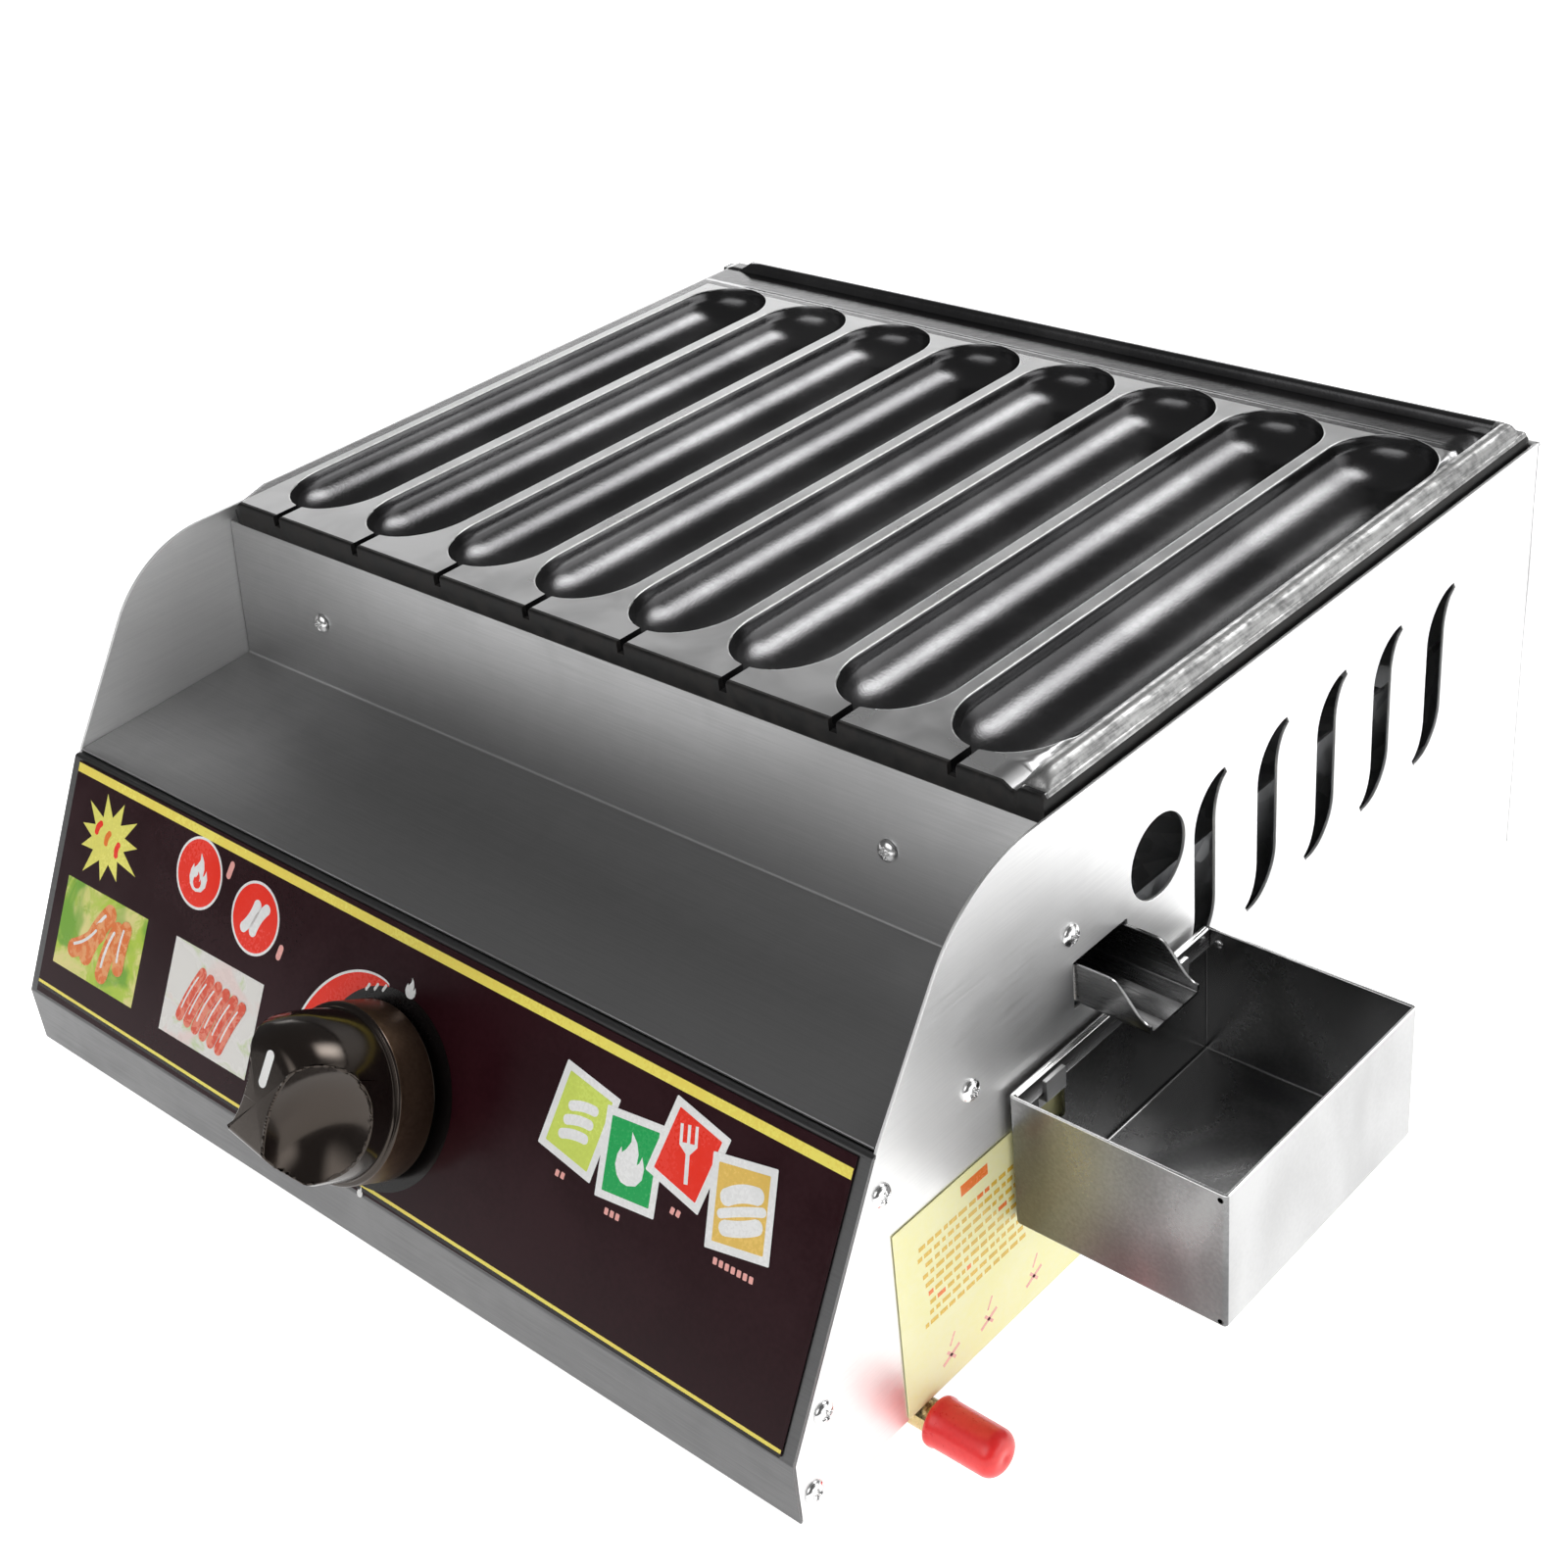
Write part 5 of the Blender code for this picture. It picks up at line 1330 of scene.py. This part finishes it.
def card_picture(index):
    """Generic pictures: a plate of sausages, a flame, a fork, a bun."""
    if index == 0:
        return [(sausage(13, 3.4, 0.5), 0, s, 1, 20) for s in (4.5, -0.5, -5.5)]
    if index == 1:
        return [(FLAME, 0, -0.5, 1.45, 0)]
    if index == 2:
        fork = [(-0.8, -9), (0.8, -9), (0.8, 0), (3.6, 2.6), (3.6, 9), (2.4, 9), (2.4, 3.4),
                (0.6, 3.4), (0.6, 9), (-0.6, 9), (-0.6, 3.4), (-2.4, 3.4), (-2.4, 9), (-3.6, 9),
                (-3.6, 2.6), (-0.8, 0)]
        return [(fork, 0, 0, 1.0, 24)]
    return [(sausage(17, 5.6, 0.8), 0, 3.6, 1, 14), (sausage(19, 3.0, 0.3), 0.4, -1.2, 1, 14),
            (sausage(17, 5.0, -0.4), 0.6, -5.6, 1, 14)]


film_prints()
paint("fascia_overlay", FILM)


# ------------------------------------------------------------------ label prints
def label_prints():
    """Plain bars on the side label: a heading, rows of short dashes, three red marks."""
    seeded = random.Random(11)
    looks = [INK_OCHRE, INK_ORANGE, INK_PINK]
    ochre, orange, pink = range(3)
    bm = bmesh.new()
    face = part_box("side_label")[1].x
    to_label = Matrix(((0, 0, 1, face), (1, 0, 0, ORIGIN.y), (0, 1, 0, ORIGIN.z), (0, 0, 0, 1)))
    part = bmesh.new()

    def bar(y, z, wide, high, look, degrees=0.0):
        outline = turned([(-wide / 2, -high / 2), (wide / 2, -high / 2), (wide / 2, high / 2),
                          (-wide / 2, high / 2)], (y, z), 1, degrees)
        prism(part, [(a * MM, b * MM) for a, b in outline], -0.02 * MM, 0.03 * MM, look)

    bar(-47, 70.4, 13, 4.2, orange)
    for row in range(9):
        z = 62.5 - row * 3.9
        y = -77 + seeded.uniform(0, 6)
        while y < -22 - 2 * row * 0.3:
            wide = seeded.uniform(1.6, 4.2)
            bar(y + wide / 2, z, wide, 1.7, orange if seeded.random() < 0.06 else ochre)
            y += wide + seeded.uniform(0.7, 1.3)
    for y in (-21, -44.5, -63.4):
        bar(y, 11.0, 9, 1.3, pink, 24)
        bar(y, 11.0, 6, 1.1, pink, -52)
        bar(y + 1, 17.0, 5, 0.8, pink, 60)
    part.transform(to_label)
    join(bm, part)
    piece("side_label_prints", bm, looks, "casing", angle=50)


label_prints()
paint("side_label", LABEL)


# ------------------------------------------------------------------ cap, feet and fittings
def inlet_cap():
    low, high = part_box("inlet_cap")
    radius = (high.z - low.z) / 2 / MM
    length = (high.x - low.x) / MM
    profile = [(5.7, 0.0), (radius - 0.7, 0.0), (radius - 0.2, 0.25), (radius, 0.9), (radius, 2.0),
               (radius - 0.35, 2.7), (radius - 0.38, 8.0), (radius - 0.42, length - 5.2)]
    bend = 4.6
    profile += arc(radius - 0.42 - bend, length - bend, bend, 0, math.pi / 2, 12)[1:]
    profile += [(1.6, length - 0.05), (0.9, length - 0.35), (0, length - 0.4)]
    bm = bmesh.new()
    lathe(bm, profile, 96)
    inner = bmesh.new()
    lathe(inner, [(5.7, 0.0), (5.7, length - 3), (0, length - 3)], 96)
    join(bm, inner)
    bmesh.ops.remove_doubles(bm, verts=bm.verts, dist=1e-5)
    place = Matrix.Translation(Vector((low.x, (low.y + high.y) / 2, (low.z + high.z) / 2)))
    piece("inlet_cap_sleeve", bm, VINYL, "cap", ["inlet_cap"], 50,
          place @ Matrix.Rotation(math.pi / 2, 4, "Y") @ Matrix.Scale(MM, 4))


inlet_cap()


def feet():
    profile = [(0, 0.6), (9.0, 0.6), (9.4, 0.0), (11.4, 0.0), (12.6, 0.5), (13, 1.6), (12.8, 3.2),
               (11.6, 15.5), (11.0, 18.6), (10.2, 19.6), (0, 19.7)]
    for name in ("foot_front_left", "foot_front_right", "foot_rear_left", "foot_rear_right"):
        low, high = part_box(name)
        bm = bmesh.new()
        lathe(bm, profile, 64)
        place = Matrix.Translation(Vector(((low.x + high.x) / 2, (low.y + high.y) / 2, 0)))
        piece(name + "_pad", bm, RUBBER, "casing", [name], 40, place @ Matrix.Scale(MM, 4))


feet()

FINISHES = (("gas_", BRASS), ("valve_plunger", BRASS), ("burner_saddle", ZINC), ("burner_", IRON),
            ("valve_bracket", ZINC), ("heat_shield", ZINC), ("shield_leg", ZINC),
            ("base_pan", ZINC), ("plate_rail", ZINC), ("air_shutter", ZINC), ("valve_s", SPRING),
            ("box_hook", PANEL), ("igniter_electrode", CERAMIC), ("igniter_lead", LEAD))
for node in NODES:
    for start, finish in FINISHES:
        if node.startswith(start):
            paint(node, finish)
            break
for node in ("base_pan", "heat_shield", "box_hook_front", "box_hook_rear", "fascia_overlay",
             "side_label", "valve_bracket"):
    NODES[node].modifiers.new("weld", "WELD").merge_threshold = 1e-6
    soften(NODES[node], 0.15 if node in ("fascia_overlay", "side_label") else 0.3)


# ------------------------------------------------------------------ floor, light and camera
def floor():
    look = Look("studio_floor")
    look.set(Roughness=0.85, Specular_IOR_Level=0.1, Emission_Color=(1, 1, 1, 1),
             Emission_Strength=0.85)
    cloud = look.noise(2.0, 2)
    look.colour(cloud, 0.3, 0.7, (0.9, 0.9, 0.9), (0.93, 0.93, 0.93))
    bm = bmesh.new()
    prism(bm, circle((0, 0), 14, 96), -0.02, 0)
    made = placed("studio_floor", to_mesh(bm, "studio_floor"))
    made.data.materials.append(look.made)


floor()


def soft_box(look, azimuth, height, wide, tall, edge):
    """Share of one soft box in the world's light, by direction, in degrees."""
    turn, rise = math.radians(azimuth), math.radians(height)
    ahead = Vector((math.cos(turn) * math.cos(rise), math.sin(turn) * math.cos(rise),
                    math.sin(rise)))
    side = Vector((-math.sin(turn), math.cos(turn), 0))
    over = ahead.cross(side)
    found = []
    for axis in (ahead, side, over):
        dot = look.add("ShaderNodeVectorMath", operation="DOT_PRODUCT")
        look.link(look.place, dot.inputs[0])
        dot.inputs[1].default_value = axis
        found.append(dot.outputs["Value"])
    front = look.maths("MAXIMUM", found[0], 0.02)
    share = look.ranged(found[0], 0.0, 0.1)
    for part, size in ((found[1], wide), (found[2], tall)):
        reach = look.maths("ABSOLUTE", look.maths("DIVIDE", part, front), 0)
        low = math.tan(math.radians(max(size - edge, 0.5)))
        high = math.tan(math.radians(size + edge))
        share = look.maths("MULTIPLY", share, look.ranged(reach, low, high, 1, 0))
    return share


class World(Look):
    """Nodes of the world, with the same short calls as a material's."""

    def __init__(self):
        self.made = bpy.data.worlds.new("studio")
        self.made.use_nodes = True
        self.tree = self.made.node_tree
        self.shader = self.tree.nodes["Background"]
        self.place = self.add("ShaderNodeTexCoord").outputs["Generated"]


# azimuth from +X towards +Y, height, half width, half height, blur, strength
SOFT_BOXES = ((78, 46, 7, 12, 8, 8.5), (135, 11, 18, 9, 5, 3.4), (44, 24, 14, 16, 10, 1.2),
              (16, 6, 24, 9, 10, 2.1), (-88, 40, 24, 18, 12, 1.9))
ROOM = 0.12


def lights():
    """Soft boxes round a dim room; the camera itself sees a white room."""
    world = World()
    total = None
    for azimuth, height, wide, tall, edge, power in SOFT_BOXES:
        box = soft_box(world, azimuth, height, wide, tall, edge)
        share = world.maths("MULTIPLY", box, power)
        total = share if total is None else world.maths("ADD", total, share)
    room = world.maths("ADD", total, ROOM)
    seen = world.add("ShaderNodeLightPath")
    backdrop = world.add("ShaderNodeMix", data_type="FLOAT")
    world.link(seen.outputs["Is Camera Ray"], backdrop.inputs["Factor"])
    world.link(room, backdrop.inputs[2])
    backdrop.inputs[3].default_value = 1.0
    world.link(backdrop.outputs[0], world.shader.inputs["Strength"])
    world.shader.inputs["Color"].default_value = (1, 1, 1, 1)
    bpy.context.scene.world = world.made


lights()


CAMERA = (546.73, -452.0, 544.96)


def camera():
    """The photograph's camera, fitted to the casing's corners."""
    data = bpy.data.cameras.new("camera")
    data.lens = 53.68
    data.sensor_width = 36
    data.clip_start = 0.01
    turn, tip, roll = 0.788799, 0.553771, -0.111834
    flat = Vector((math.cos(turn), math.sin(turn), 0))
    back = Vector((math.sin(turn) * math.cos(tip), -math.cos(turn) * math.cos(tip), math.sin(tip)))
    up = back.cross(flat)
    right = flat * math.cos(roll) + up * math.sin(roll)
    up = up * math.cos(roll) - flat * math.sin(roll)
    made = placed("camera", data)
    pose = Matrix((right, up, back)).transposed().to_4x4()
    made.matrix_world = Matrix.Translation(at(*CAMERA)) @ pose
    bpy.context.scene.camera = made


camera()
bpy.context.scene.view_settings.view_transform = "Standard"
